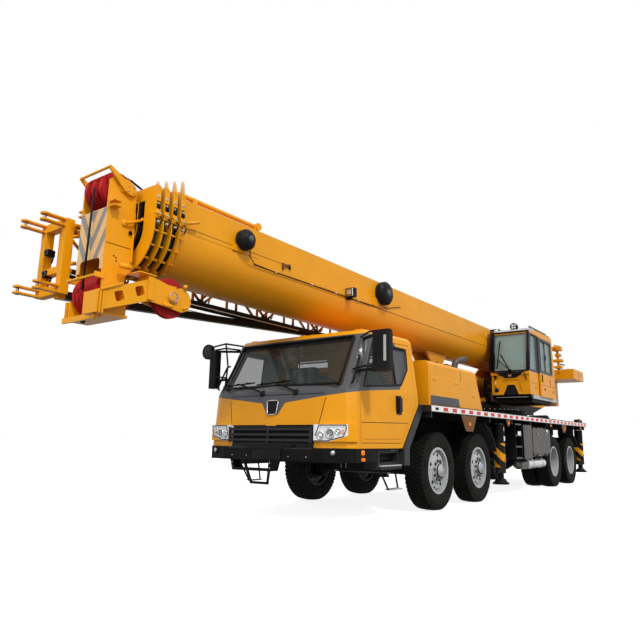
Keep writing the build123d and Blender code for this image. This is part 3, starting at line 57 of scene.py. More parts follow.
AHEAD = (-1, 0, 0)                              # looking at a front face
INWARD = (0, -1, 0)                             # looking at a left face


def spot(point):
    """Point of the frame from a station tuple."""
    return point if isinstance(point, Vector) else Vector((AXLE_1 + point[0], point[1], point[2]))


# ================================================================ materials
class Tree:
    """Short forms for the nodes of one material, or of the sky."""

    def __init__(self, owner, place="Object"):
        self.tree = owner.node_tree
        self.where = self.add("ShaderNodeTexCoord").outputs[place]
        split = self.add("ShaderNodeSeparateXYZ", Vector=self.where)
        self.x, self.y, self.z = split.outputs

    def add(self, kind, settings=(), **inputs):
        node = self.tree.nodes.new(kind)
        for key, value in dict(settings).items():
            setattr(node, key, value)
        for key, value in inputs.items():
            self.put(node.inputs[key.replace("_", " ")], value)
        return node

    def put(self, socket, value):
        if isinstance(value, bpy.types.NodeSocket):
            self.tree.links.new(value, socket)
        else:
            socket.default_value = value

    def calc(self, operation, *values):
        node = self.add("ShaderNodeMath", {"operation": operation})
        for socket, value in zip(node.inputs, values):
            self.put(socket, value)
        return node.outputs[0]

    def noise(self, scale, detail=3.0, stretch=None):
        vector = self.where
        if stretch:
            vector = self.add("ShaderNodeMapping", Vector=vector, Scale=stretch).outputs[0]
        return self.add("ShaderNodeTexNoise", Vector=vector, Scale=scale, Detail=detail).outputs["Fac"]

    def span(self, value, low, high, to_low=0.0, to_high=1.0):
        node = self.add("ShaderNodeMapRange", Value=value)
        for socket, number in zip(node.inputs[1:5], (low, high, to_low, to_high)):
            self.put(socket, number)
        return node.outputs[0]

    def mix(self, factor, one, two):
        node = self.add("ShaderNodeMix", {"data_type": "RGBA"})
        self.put(node.inputs[0], factor)
        self.put(node.inputs[6], one)
        self.put(node.inputs[7], two)
        return node.outputs[2]


def rgba(colour):
    return (*colour, 1.0)


def specular(colour, metallic, alpha):
    """Full on metal and glass, low on paint, lower still on dark plastic."""
    if alpha < 1 or metallic:
        return 0.5
    return 0.18 if max(colour) > 0.06 else 0.09


def material(name, colour, rough=0.45, metallic=0.0, vary=0.1, scale=2.5, bump=0.08, fine=70.0, dust=0.0,
             coat=0.0, stretch=None, layers=(), alpha=1.0, glow=0.0, rounded=0.0):
    """Procedural finish: uneven colour and gloss, fine relief, dust low down, and painted areas.

    Each layer is (area, colour), where area makes a 0 to 1 factor from the tree.
    """
    made = bpy.data.materials.new(name)
    made.use_nodes = True
    tree = Tree(made)
    shader = made.node_tree.nodes["Principled BSDF"]
    broad = tree.noise(scale, 4.0, stretch)
    base = tree.mix(tree.span(broad, 0.35, 0.65), rgba([c * (1 - vary) for c in colour]),
                    rgba([min(1.0, c * (1 + vary)) for c in colour]))
    for area, over in layers:
        base = tree.mix(area(tree), base, rgba(over))
    if dust:
        low = tree.calc("MULTIPLY", tree.span(tree.z, 1.1, 0.1, 0.0, dust),
                        tree.span(tree.noise(5.0), 0.35, 0.6))
        base = tree.mix(low, base, rgba((0.1, 0.085, 0.065)))
    tree.put(shader.inputs["Base Color"], base)
    patchy = tree.span(tree.noise(scale * 3), 0.3, 0.7, rough * 0.85, min(1.0, rough * 1.15))
    tree.put(shader.inputs["Roughness"], patchy)
    shader.inputs["Metallic"].default_value = metallic
    shader.inputs["Coat Weight"].default_value = coat
    shader.inputs["Coat Roughness"].default_value = 0.12
    shader.inputs["Alpha"].default_value = alpha
    shader.inputs["Specular IOR Level"].default_value = specular(colour, metallic, alpha)
    if glow:
        shader.inputs["Emission Strength"].default_value = glow
        shader.inputs["Emission Color"].default_value = rgba(colour)
    relief = tree.add("ShaderNodeBump", Height=tree.noise(fine, 2.0, stretch), Strength=bump, Distance=0.002)
    if rounded:
        edge = tree.add("ShaderNodeBevel", {"samples": 3}, Radius=rounded)
        tree.put(relief.inputs["Normal"], edge.outputs[0])
    tree.put(shader.inputs["Normal"], relief.outputs[0])
    return made


def enamel(name, layers=(), rough=0.34, **more):
    """Yellow coat of the big steel parts."""
    look = dict(vary=0.035, coat=0.1, bump=0.03, fine=40, rounded=0.006)
    return material(name, YELLOW, rough, layers=layers, **{**look, **more})


def cab_enamel(name, layers, **more):
    """Yellow coat of the smoother cabs and their doors."""
    return enamel(name, layers, 0.32, **{**dict(vary=0.03, bump=0.02, rounded=0.005), **more})


# ---------------------------------------------------------------- painted areas
def above(get, low, soft=0.002):
    """Area where a coordinate is above a value."""
    return lambda t: t.span(get(t), low - soft, low + soft)


def outside(area):
    return lambda t: t.calc("SUBTRACT", 1.0, area(t))


def below(get, high, soft=0.002):
    return outside(above(get, high, soft))


def both(*areas):
    """Area that all of the given ones share."""
    def area(t):
        made = areas[0](t)
        for other in areas[1:]:
            made = t.calc("MULTIPLY", made, other(t))
        return made
    return area


def either(*areas):
    return outside(both(*(outside(area) for area in areas)))


def band(get, low, high):
    return both(above(get, low), above(lambda t: t.calc("MULTIPLY", get(t), -1.0), -high))


def X(t):
    """Station from axle 1."""
    return t.calc("SUBTRACT", t.x, AXLE_1)


def Z(t):
    return t.z


def side(t):
    """Distance from the middle plane."""
    return t.calc("ABSOLUTE", t.y)


def beside_op(t):
    """Distance from the operator's middle plane."""
    return t.calc("ABSOLUTE", t.calc("SUBTRACT", t.y, OP_Y))


def leaning(across, rise):
    """Height plus a share of another coordinate."""
    return lambda t: t.calc("ADD", t.z, t.calc("MULTIPLY", across(t), rise))


def around(t):
    """Distance from the boom's outline centre, flat on its flanks."""
    down = t.calc("MINIMUM", t.calc("SUBTRACT", t.z, ARC_Z), 0.0)
    return t.calc("SQRT", t.calc("ADD", t.calc("MULTIPLY", t.y, t.y), t.calc("MULTIPLY", down, down)))


def slanted(t):
    """Stripes that lean inwards, of equal width."""
    run = t.calc("MULTIPLY", t.calc("ADD", side(t), t.z), 7.5)
    return t.span(t.calc("PINGPONG", run, 1.0), 0.48, 0.52)


def chevrons(t):
    wave = t.calc("FRACT", t.calc("SUBTRACT", t.calc("MULTIPLY", t.z, 3.6), t.calc("MULTIPLY", side(t), 6.2)))
    return t.span(wave, 0.52, 0.54)


YELLOW = (0.75, 0.305, 0.004)
BLACK = (0.005, 0.005, 0.005)
GREY = (0.085, 0.088, 0.095)
SILVER = (0.44, 0.45, 0.46)
paint = enamel("yellow_enamel", dust=0.35)
black = material("black_paint", BLACK, 0.42, vary=0.3, bump=0.06, dust=0.1, rounded=0.004)
grey = material("grey_plastic", GREY, 0.5, vary=0.08, bump=0.1, fine=220)
dark = material("dark_plastic", (0.012, 0.012, 0.013), 0.42, vary=0.15, bump=0.12, fine=260)
rubber = material("rubber", (0.01, 0.01, 0.009), 0.72, vary=0.25, bump=0.25, fine=130, scale=6)
iron = material("bare_iron", (0.1, 0.085, 0.07), 0.55, metallic=0.5, vary=0.3, bump=0.25, fine=35, scale=7)
silver = material("silver_paint", SILVER, 0.42, metallic=0.1, vary=0.08, bump=0.12, fine=60, dust=0.3)
steel = material("bright_steel", (0.72, 0.72, 0.73), 0.22, metallic=1.0, vary=0.05, bump=0.03,
                 stretch=(1, 8, 8))
zinc = material("zinc_steel", (0.45, 0.45, 0.46), 0.42, metallic=0.8, vary=0.15, bump=0.15, fine=90)
red = material("red_enamel", (0.36, 0.01, 0.01), 0.62, vary=0.15, bump=0.08)
rope = material("wire_rope", (0.014, 0.013, 0.012), 0.55, metallic=0.0, vary=0.3, bump=0.6, fine=160,
                stretch=(1, 0.4, 0.4))
white = material("reflective_white", (0.8, 0.8, 0.79), 0.35, vary=0.03, bump=0.05, fine=400)
signal = material("reflective_red", (0.62, 0.035, 0.025), 0.35, vary=0.05, bump=0.05, fine=400)
amber = material("amber_lens", (0.85, 0.22, 0.01), 0.18, vary=0.06, bump=0.1, fine=300, glow=0.15)
red_lens = material("red_lens", (0.5, 0.01, 0.01), 0.18, vary=0.06, bump=0.1, fine=300, glow=0.1)
lens = material("clear_lens", (0.78, 0.8, 0.82), 0.1, vary=0.04, bump=0.15, fine=260)
chrome = material("reflector", (0.78, 0.79, 0.8), 0.12, metallic=1.0, vary=0.05, bump=0.05)
mirror = material("mirror_glass", (0.62, 0.66, 0.68), 0.04, metallic=1.0, vary=0.02, bump=0.0)
pane = material("tinted_pane", (0.06, 0.08, 0.076), 0.05, vary=0.06, bump=0.0, alpha=0.3)
seat_cloth = material("seat_cloth", (0.035, 0.036, 0.04), 0.85, vary=0.15, bump=0.5, fine=420)
tan = material("sand_paint", (0.66, 0.4, 0.16), 0.45, vary=0.05, bump=0.05, coat=0.1)
chequer = material("chequer_plate", (0.035, 0.035, 0.037), 0.45, metallic=0.3, vary=0.3, bump=0.5,
                   fine=45, scale=4)

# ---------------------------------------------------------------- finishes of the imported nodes
hazard = material("hazard_paint", BLACK, 0.4, vary=0.05, bump=0.05, dust=0.4,
                  layers=[(both(band(Z, 0.52, 0.92), slanted), YELLOW)])
deck_paint = enamel("deck_and_hood", [
    (below(Z, 1.423), (0.018, 0.018, 0.019)),
    (both(below(Z, 1.426), above(X, 0.59)), (0.028, 0.028, 0.03))])
brow = both(above(leaning(side, -1.45), 1.112), above(Z, 1.238))
cab_paint = cab_enamel("cab_enamel", [
    (both(above(X, 1.62), either(above(leaning(side, -0.12), 1.365), brow), below(Z, 2.255)), GREY),
    (both(above(X, 2.1), band(Z, 0.8, 1.108), below(side, 0.668)), BLACK)], fine=40, dust=0.15)
door_paint = cab_enamel("door_enamel", [
    (both(above(leaning(X, 0.085), 1.682), above(X, 1.1), below(Z, 2.2)), GREY),
    (both(above(X, 0.862), below(X, 1.25), band(Z, 1.625, 2.15), above(leaning(X, 1.158), 2.882)), GREY),
    (both(above(X, 1.092), below(X, 1.228), band(Z, 1.268, 1.505)), BLACK)], fine=40, dust=0.15)
lamp_rim = either(below(X, 2.165), outside(above(leaning(side, -0.28), 0.68)),
                  outside(above(leaning(side, 2.7), -0.925)))
lamp_paint = material("head_lamp_glass", (0.7, 0.72, 0.74), 0.1, vary=0.08, bump=0.2, fine=60, scale=20,
                      coat=0.1, layers=[(lamp_rim, YELLOW)])
# Lower flank painted a deeper orange, and the belly darker below z 2.6: painted bounce light on the flank and
# painted shade on the underside.
boom_paint = enamel("boom_enamel", [
    (below(Z, 2.82, 0.14), (0.86, 0.325, 0.006)),
    (below(Z, 2.6, 0.05), (0.62, 0.245, 0.006))], dust=0.1)
# Black band on each section at the gap before the collar: painted shadow in the gap, and grease on the tube.
section_paint = {k: enamel(f"section_{k}_enamel", [
    (both(above(X, 4.07), below(X, 4.087 + 0.1 * k), below(around, 0.432)), BLACK)], rounded=0.004)
    for k in (2, 3, 4)}
# Black band at the gap behind the head's collar: painted shadow in the gap, and grease.
head_paint = enamel("head_enamel", [
    (both(above(X, 4.46), below(X, 4.549), below(around, 0.285)), BLACK),
    (both(above(X, 4.8505), band(Z, 2.45, 3.06)), (0.7, 0.44, 0.2)),
    (both(above(X, 4.8505), band(Z, 2.57, 3.05), chevrons), (0.18, 0.19, 0.2))], fine=70, rounded=0.004)
fender_paint = material(
    "fender_plastic", (0.026, 0.026, 0.028), 0.5, vary=0.1, bump=0.1, fine=220, dust=0.2,
    layers=[(both(above(side, 1.335), below(X, 0.3)), (0.13, 0.13, 0.14))])
# Yellow enamel darkened to brown: painted shade on brackets, boom creases and small parts that the lamps
# would otherwise light.
painted_shade_ochre = material("shaded_enamel", (0.16, 0.065, 0.012), 0.45, vary=0.1, bump=0.05, dust=0.2)
op_pane = material("operator_pane", (0.3, 0.42, 0.4), 0.05, vary=0.06, bump=0.0, alpha=0.55)
op_door_paint = cab_enamel("operator_door_enamel", [
    (both(band(Z, 2.355, 3.118), above(X, -5.545)), GREY)], fine=70)
# Below z 1.8 the yellow is painted near-black brown, as painted shade under the operator's cab; below z 1.64
# the ring gear is black.
turntable_paint = material(
    "turntable_enamel", YELLOW, 0.55, vary=0.05, bump=0.05, dust=0.1, rounded=0.005,
    layers=[(below(Z, 1.8), (0.014, 0.01, 0.008)), (below(Z, 1.64), BLACK)])
# The yellow lattice is painted near black below z 2.66 and a dim orange above it, as painted shade; only its
# front end past x 4.68 keeps the yellow.
jib_paint = material(
    "jib_enamel", (0.02, 0.014, 0.01), 0.4, vary=0.2, bump=0.05, rounded=0.004,
    layers=[(above(Z, 2.66), (0.4, 0.13, 0.008)), (above(X, 4.68), YELLOW)])
op_paint = cab_enamel("operator_cab_enamel", [
    (below(Z, 1.885), BLACK), (both(above(Z, 3.255), above(X, -5.7)), BLACK),
    (both(above(X, -4.66), band(Z, 2.345, 3.15)), GREY),
    (both(above(X, -4.1), above(leaning(beside_op, -0.6), 2.15), above(Z, 2.215)), BLACK),
    (both(above(X, -4.1), outside(above(leaning(beside_op, 2.4), 2.262)), below(Z, 2.085)), BLACK),
    (both(above(X, -4.5), above(Z, 3.2), below(Z, 3.262)), SILVER)], fine=70)
bumper_paint = material(
    "bumper_paint", BLACK, 0.45, vary=0.2, bump=0.08, dust=0.1, rounded=0.006,
    layers=[(both(above(Z, 0.835), below(side, 0.68)), (0.03, 0.031, 0.034))])
tank_paint = material(
    "tank_paint", (0.034, 0.027, 0.023), 0.26, metallic=0.25, vary=0.4, scale=1.2, bump=0.05,
    stretch=(3, 3, 0.4), layers=[(below(Z, 0.622), (0.72, 0.72, 0.72)),
                                 (both(below(Z, 0.622), above(X, -3.78)), (0.05, 0.05, 0.05))])
interior = material("cab_trim", (0.04, 0.04, 0.043), 0.7, vary=0.15, bump=0.3, fine=300,
                    layers=[(above(X, 1.8), (0.022, 0.022, 0.024))])
# Rims are painted near black inside |y| 1.02: painted shade inside the wheels.
rim_paint = material("rim_paint", SILVER, 0.45, vary=0.08, bump=0.12, fine=60, dust=0.3,
                     layers=[(below(side, 1.02), (0.02, 0.02, 0.02))])

#        start of a node's name, its finish and its slot; nodes that match none are dark steel
FINISHES = (
    ("engine", iron, "engine_iron"), ("deck", deck_paint, "yellow_paint"),
    ("driver_cab", cab_paint, "yellow_paint"), ("driver_door", door_paint, "yellow_paint"),
    ("cab_glass", pane, "glass"), ("cab_interior", interior, "trim_plastic"),
    ("front_bumper", bumper_paint, "dark_paint"), ("head_lamps", lamp_paint, "lamp"),
    ("mirrors", dark, "trim_plastic"), ("fenders", fender_paint, "trim_plastic"),
    ("tanks", tank_paint, "dark_paint"), ("outrigger", hazard, "yellow_paint"),
    ("turntable", turntable_paint, "yellow_paint"), ("winches", iron, "rope_drum"),
    ("counterweight", paint, "yellow_paint"), ("operator_cab", op_paint, "yellow_paint"),
    ("operator_glass", op_pane, "glass"), ("operator_seat", seat_cloth, "trim_plastic"),
    ("operator_door", op_door_paint, "yellow_paint"), ("boom_base", boom_paint, "yellow_paint"),
    ("boom_fittings", dark, "trim_plastic"), ("fly_jib", jib_paint, "yellow_paint"),
    ("boom_section_2", section_paint[2], "yellow_paint"),
    ("boom_section_3", section_paint[3], "yellow_paint"),
    ("boom_section_4", section_paint[4], "yellow_paint"), ("boom_head", head_paint, "yellow_paint"),
    ("head_sheaves", red, "red_paint"), ("luff_barrel", paint, "yellow_paint"),
    ("luff_rod", steel, "chrome_rod"), ("tyre", rubber, "tyre"), ("spare_tyre", rubber, "tyre"),
    ("wheel", rim_paint, "rim_silver"), ("", black, "dark_paint"))
for name, node in NODES.items():
    _, finish, slot = next(row for row in FINISHES if name.startswith(row[0]))
    node.data.materials.clear()
    node.data.materials.append(finish)


def about(centre, axis):
    """Finder of points round an axis, from their place along it, radius and angle."""
    centre, axis = spot(centre), Vector(axis).normalized()
    across = axis.orthogonal().normalized()
    third = axis.cross(across)

    def find(along, radius, angle):
        return centre + axis * along + (across * math.cos(angle) + third * math.sin(angle)) * radius
    return find


def angles(count, start=0.0):
    return [2 * math.pi * step / count + start for step in range(count)]


# ================================================================ mesh building
class Piece:
    """Collects simple solids in one mesh that rides on a body."""

    def __init__(self, name, body, slot):
        self.name, self.body, self.slot = name, body, slot
        self.mesh = bmesh.new()
        self.finishes = []

    def index(self, finish):
        if finish not in self.finishes:
            self.finishes.append(finish)
        return self.finishes.index(finish)

    def faces(self, finish, corners, faces, smooth=False):
        """Adds faces over a list of points."""
        verts = [self.mesh.verts.new(corner) for corner in corners]
        made = []
        for face in faces:
            new = self.mesh.faces.new([verts[i] for i in face])
            new.material_index = self.index(finish)
            new.smooth = smooth
            made.append(new)
        return made

    def soften(self, faces, width):
        edges = list({edge for face in faces for edge in face.edges})
        bmesh.ops.bevel(self.mesh, geom=edges, offset=width, segments=2, profile=0.6,
                        affect="EDGES", material=-1)

    def box(self, finish, centre, size, bevel=0.004, turn=(0, 0, 0)):
        """Box about a centre, its edges eased, turned by degrees about X, Y and Z."""
        spin = Matrix.Identity(3)
        for angle, axis in zip(turn, "XYZ"):
            spin = Matrix.Rotation(math.radians(angle), 3, axis) @ spin
        corners = [spot(centre) + spin @ Vector((size[0] / 2 * i, size[1] / 2 * j, size[2] / 2 * k))
                   for i in (-1, 1) for j in (-1, 1) for k in (-1, 1)]
        made = self.faces(finish, corners, [(0, 1, 3, 2), (4, 6, 7, 5), (0, 4, 5, 1), (2, 3, 7, 6),
                                            (0, 2, 6, 4), (1, 5, 7, 3)])
        if bevel:
            self.soften(made, min(bevel, min(size) * 0.4))

    def prism(self, finish, outline, push, bevel=0.0):
        """Closed outline of points, pushed along a vector."""
        count = len(outline)
        corners = [spot(p) for p in outline] + [spot(p) + Vector(push) for p in outline]
        sides = [(i, (i + 1) % count, count + (i + 1) % count, count + i) for i in range(count)]
        made = self.faces(finish, corners, [tuple(reversed(range(count))),
                                            tuple(range(count, 2 * count)), *sides])
        if bevel:
            self.soften(made, bevel)

    def lathe(self, finish, centre, axis, profile, segments=32, smooth=True):
        """Turns (along, radius) points about an axis through a centre."""
        point = about(centre, axis)
        rings, corners = [], []
        for along, radius in profile:
            turns = angles(segments) if radius > 1e-6 else [0.0]
            rings.append(list(range(len(corners), len(corners) + len(turns))))
            corners += [point(along, radius, angle) for angle in turns]
        faces = []
        for one, two in zip(rings, rings[1:]):
            for step in range(segments):
                after = (step + 1) % segments
                if len(one) == 1 and len(two) == 1:
                    continue
                if len(one) == 1:
                    faces.append((one[0], two[step], two[after]))
                elif len(two) == 1:
                    faces.append((one[step], two[0], one[after]))
                else:
                    faces.append((one[step], two[step], two[after], one[after]))
        self.faces(finish, corners, faces, smooth)

    def disc(self, finish, centre, axis, radius, thick, segments=32, edge=0.003):
        """Turned disc with eased rims, starting at its centre point."""
        self.lathe(finish, centre, axis, [(0, 0), (0, radius - edge), (edge, radius), (thick - edge, radius),
                                          (thick, radius - edge), (thick, 0)], segments)

    def tube(self, finish, points, radius, sides=10, closed=False):
        """Round tube along points, its turns eased by the mitre."""
        points = [spot(p) for p in points]
        count = len(points)
        normal = None
        corners = []
        for i, point in enumerate(points):
            back = points[i - 1] if i or closed else point
            ahead = points[(i + 1) % count] if i < count - 1 or closed else point
            run = (ahead - back).normalized()
            if normal is None:
                normal = run.orthogonal().normalized()
            normal = (normal - run * normal.dot(run)).normalized()
            third = run.cross(normal)
            for step in range(sides):
                angle = 2 * math.pi * step / sides
                corners.append(point + (normal * math.cos(angle) + third * math.sin(angle)) * radius)
        faces = []
        for i in range(count if closed else count - 1):
            j = (i + 1) % count
            for step in range(sides):
                after = (step + 1) % sides
                faces.append((i * sides + step, i * sides + after, j * sides + after, j * sides + step))
        if not closed:
            faces.append(tuple(reversed(range(sides))))
            faces.append(tuple(range((count - 1) * sides, count * sides)))
        self.faces(finish, corners, faces, True)

    def ring(self, finish, centre, axis, radius, thick, segments=32, sides=8):
        point = about(centre, axis)
        self.tube(finish, [point(0, radius, angle) for angle in angles(segments)], thick, sides, True)

    def bolts(self, finish, centre, axis, circle, count, size, high, start=0.0):
        """Hexagon heads on a circle."""
        point = about(centre, axis)
        for angle in angles(count, start):
            self.bolt(finish, point(0, circle, angle), axis, size, high)

    def bolt(self, finish, centre, axis, size, high):
        self.lathe(finish, centre, axis, [(0, size), (high * 0.8, size), (high, size * 0.8),
                                          (high, 0)], 6, False)

    def ribbon(self, finish, skin, points, direction, width, lift=0.0025, step=0.06):
        """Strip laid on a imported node, found by looking along a direction."""
        direction = Vector(direction).normalized()
        path = []
        for one, two in zip(points, points[1:]):
            one, two = spot(one), spot(two)
            parts = max(1, round((two - one).length / step))
            path += [one.lerp(two, i / parts) for i in range(parts)]
        path.append(spot(points[-1]))
        rows = []
        for i, point in enumerate(path):
            run = (path[min(i + 1, len(path) - 1)] - path[max(i - 1, 0)]).normalized()
            aside = run.cross(direction).normalized() * (width / 2)
            row = []
            for sign in (-1, 1):
                hit, normal = skin(point + aside * sign, direction)
                if hit is None:
                    row = []
                    break
                row += [hit + normal * lift, hit - normal * 0.003]
            if row:
                rows.append([row[1], row[0], row[2], row[3]])
        if len(rows) < 2:
            return
        corners = [corner for row in rows for corner in row]
        faces = [(4 * i + k, 4 * i + k + 1, 4 * i + k + 5,
                  4 * i + k + 4) for i in range(len(rows) - 1) for k in range(3)]
        last = 4 * (len(rows) - 1)
        faces += [(3, 2, 1, 0), (last, last + 1, last + 2, last + 3)]
        self.faces(finish, corners, faces)

    def patch(self, finish, skin, outline, direction, lift=0.003):
        """Thin plate of a straight-edged outline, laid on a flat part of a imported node."""
        direction = Vector(direction).normalized()
        top, foot = [], []
        for point in outline:
            hit, normal = skin(point, direction)
            if hit is None:
                return
            top.append(hit + normal * lift)
            foot.append(hit - normal * 0.003)
        count = len(top)
        sides = [(i, (i + 1) % count, count + (i + 1) % count, count + i) for i in range(count)]
        self.faces(finish, top + foot, [tuple(range(count)), *sides])

    def done(self, *instead):
        bmesh.ops.recalc_face_normals(self.mesh, faces=self.mesh.faces)
        data = bpy.data.meshes.new(self.name)
        self.mesh.to_mesh(data)
        self.mesh.free()
        for finish in self.finishes:
            data.materials.append(finish)
        made = bpy.data.objects.new(self.name, data)
        bpy.context.scene.collection.objects.link(made)
        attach(made, self.body)
        if instead:
            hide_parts(*instead)


SKINS = {}
SKIN_BACK = 0.6                                 # how far before its start a ray sets off


def skin(node):
    """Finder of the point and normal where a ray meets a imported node."""
    if node not in SKINS:
        data = NODES[node].data
        tree = BVHTree.FromPolygons([v.co.copy() for v in data.vertices],
                                    [tuple(p.vertices) for p in data.polygons])

        def find(start, direction):
            direction = Vector(direction)
            hit, normal, _, _ = tree.ray_cast(spot(start) - direction * SKIN_BACK, direction)
            if hit is not None and normal.dot(direction) > 0:
                normal = -normal
            return hit, normal
        SKINS[node] = find
    return SKINS[node]


# ================================================================ tyres
#        inner and outer |y| of each row of blocks, skew across the row, phase, in pitches
TREAD = [(0.0825, 0.13, 0.1, 0.0), (0.033, 0.0745, 0.35, 0.5), (-0.025, 0.025, 0.45, 0.0)]
TREAD_PITCHES = 54
TREAD_DEEP = 0.017
SHOULDER = 0.08                                 # |y| beyond which blocks run down the side
SHOULDER_FOOT = 0.486                           # radius that they end on
TYRE_HALF = 0.132
CROWN_DROP = 0.012
#        |y| and radius of the carcass from bead to crown
CARCASS = [(0.118, 0.3), (0.118, 0.318), (0.13, 0.333), (0.132, 0.34), (0.14, 0.356), (0.1415, 0.366),
           (0.14, 0.37), (0.1455, 0.395), (0.1455, 0.425), (0.143, 0.448), (0.144, 0.456), (0.141, 0.462),
           (0.137, 0.49), (0.131, 0.508), (0.124, 0.516), (0.06, 0.5215), (0.0, 0.523)]


def crown(y):
    return TYRE_R - CROWN_DROP * (y / TYRE_HALF) ** 2


def tyre_shape(piece, centre, axis):
    """Treaded tyre about an axis; the blocks reach the crown of the plain tyre."""
    profile = [(-y, r) for y, r in CARCASS] + [(y, r) for y, r in reversed(CARCASS[:-1])]
    piece.lathe(rubber, centre, axis, profile + profile[:1], 72)
    point = about(centre, axis)
    pitch = 2 * math.pi / TREAD_PITCHES
    for number in range(TREAD_PITCHES):
        for near, far, skew, phase in TREAD:
            for sign in ((1, -1) if near > 0 else (1,)):
                middle = (number + phase + (0.25 if sign < 0 else 0)) * pitch
                half = pitch * (0.36 if near > SHOULDER else 0.41)
                low, high = [], []
                for y, bend in ((near, -skew / 2), (far, skew / 2)):
                    outer = near > SHOULDER and y == far
                    foot = SHOULDER_FOOT if outer else crown(y) - TREAD_DEEP - 0.004
                    for turn in (-half, half):
                        angle = middle + turn + bend * pitch
                        low.append(point(sign * (y + (0.008 if outer else 0)), foot, angle))
                        high.append(point(sign * y, crown(y), angle))
                piece.faces(rubber, low + high, [(4, 5, 7, 6), (0, 1, 5, 4), (2, 6, 7, 3),
                                                 (0, 4, 6, 2), (1, 3, 7, 5)])


HAND_HOLES = 5
HAND_HOLE_CIRCLE = 0.212
for name in [f"{number}_{side_name}" for number in (1, 2) for side_name, _ in SIDES]:
    out = Vector((0, 1 if name.endswith("left") else -1, 0))
    low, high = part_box(f"tyre_{name}")
    middle = (low + high) / 2
    tyre = Piece(f"treaded_tyre_{name}", f"wheel_{name}", "tyre")
    tyre_shape(tyre, middle, out)
    tyre.done(f"tyre_{name}")
    trim = Piece(f"wheel_nuts_{name}", f"wheel_{name}", "rim_silver")
    face = middle + out * 0.12
    trim.bolts(iron, face, out, 0.133, 10, 0.0165, 0.028)
    trim.bolts(dark, face, out, 0.133, 10, 0.0165 * 1.35, 0.006)
    trim.ring(dark, face + out * 0.034, out, 0.094, 0.007)
    trim.ring(silver, face + out * 0.001, out, 0.166, 0.004)
    trim.lathe(silver, face + out * 0.03, out, [(0, 0.088), (0.018, 0.086), (0.024, 0.078), (0.026, 0.052),
                                                 (0.032, 0.048), (0.034, 0)], 28)
    trim.bolts(zinc, face + out * 0.05, out, 0.066, 8, 0.007, 0.008)
    rim_skin = skin(f"wheel_{name}")
    for angle in angles(HAND_HOLES, 0.45):
        x, z = math.cos(angle) * HAND_HOLE_CIRCLE, math.sin(angle) * HAND_HOLE_CIRCLE
        hit, normal = rim_skin(middle + Vector((x, 0, z)) + out * 0.2, -out)
        if hit is not None:
            trim.lathe(black, hit - normal * 0.002, normal, [(0, 0.027), (0.004, 0.026), (0.0045, 0)], 20)
    # Valve stem.
    trim.tube(iron, [middle + Vector((x, 0, z)) + out * y for x, y, z in
                     ((0.243, 0.092, 0.0), (0.252, 0.112, 0.012), (0.264, 0.124, 0.025))], 0.005, 6)
    trim.done()
for name in [f"{number}_{side_name}" for number in (3, 4) for side_name, _ in SIDES]:
    out = Vector((0, 1 if name.endswith("left") else -1, 0))
    low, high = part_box(f"tyres_{name}")
    middle = (low + high) / 2
    tyres = Piece(f"treaded_tyres_{name}", f"wheels_{name}", "tyre")
    for shift in (-1, 1):
        tyre_shape(tyres, middle + Vector((0, shift * (TRACK - abs(middle.y)), 0)), out)
    tyres.done(f"tyres_{name}")
    trim = Piece(f"wheel_nuts_{name}", f"wheels_{name}", "rim_silver")
    face = middle + out * 0.016
    trim.bolts(iron, face, out, 0.15, 10, 0.0165, 0.03)
    trim.bolts(silver, face, out, 0.245, 5, 0.012, 0.01)
    trim.bolts(zinc, middle + out * 0.13, out, 0.052, 8, 0.008, 0.008)
    trim.ring(silver, middle + out * 0.131, out, 0.03, 0.006)
    trim.done()
low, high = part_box("spare_tyre")
middle = (low + high) / 2
spare = Piece("treaded_spare_tyre", "carrier", "tyre")
tyre_shape(spare, middle, (0, 0, 1))
spare.lathe(silver, middle, (0, 0, 1), [
    (-0.128, 0.318), (-0.128, 0.286), (-0.06, 0.28), (0.03, 0.27), (0.04, 0.14), (0.05, 0.14), (0.04, 0.27),
    (0.06, 0.286), (0.128, 0.3), (0.128, 0.318), (0.118, 0.318), (0.118, 0.3), (-0.118, 0.3), (-0.118, 0.318),
    (-0.128, 0.318)], 48)
spare.bolts(zinc, middle + Vector((0, 0, 0.047)), (0, 0, 1), 0.19, 10, 0.016, 0.012)
spare.done("spare_tyre")


# ================================================================ driver's cab
def grown(outline, amount):
    """Convex outline of (x, z), moved outwards."""
    count = len(outline)
    turn = sum(outline[i][0] * outline[(i + 1) % count][1] - outline[(i + 1) % count][0] * outline[i][1]
               for i in range(count))
    sign = 1 if turn > 0 else -1
    made = []
    for i in range(count):
        lines = []
        for a, b in ((outline[i - 1], outline[i]), (outline[i], outline[(i + 1) % count])):
            dx, dz = b[0] - a[0], b[1] - a[1]
            long = math.hypot(dx, dz)
            nx, nz = sign * dz / long, -sign * dx / long
            lines.append((nx, nz, nx * a[0] + nz * a[1] + amount))
        (a1, b1, c1), (a2, b2, c2) = lines
        whole = a1 * b2 - a2 * b1
        made.append(((c1 * b2 - c2 * b1) / whole, (a1 * c2 - a2 * c1) / whole))
    return made


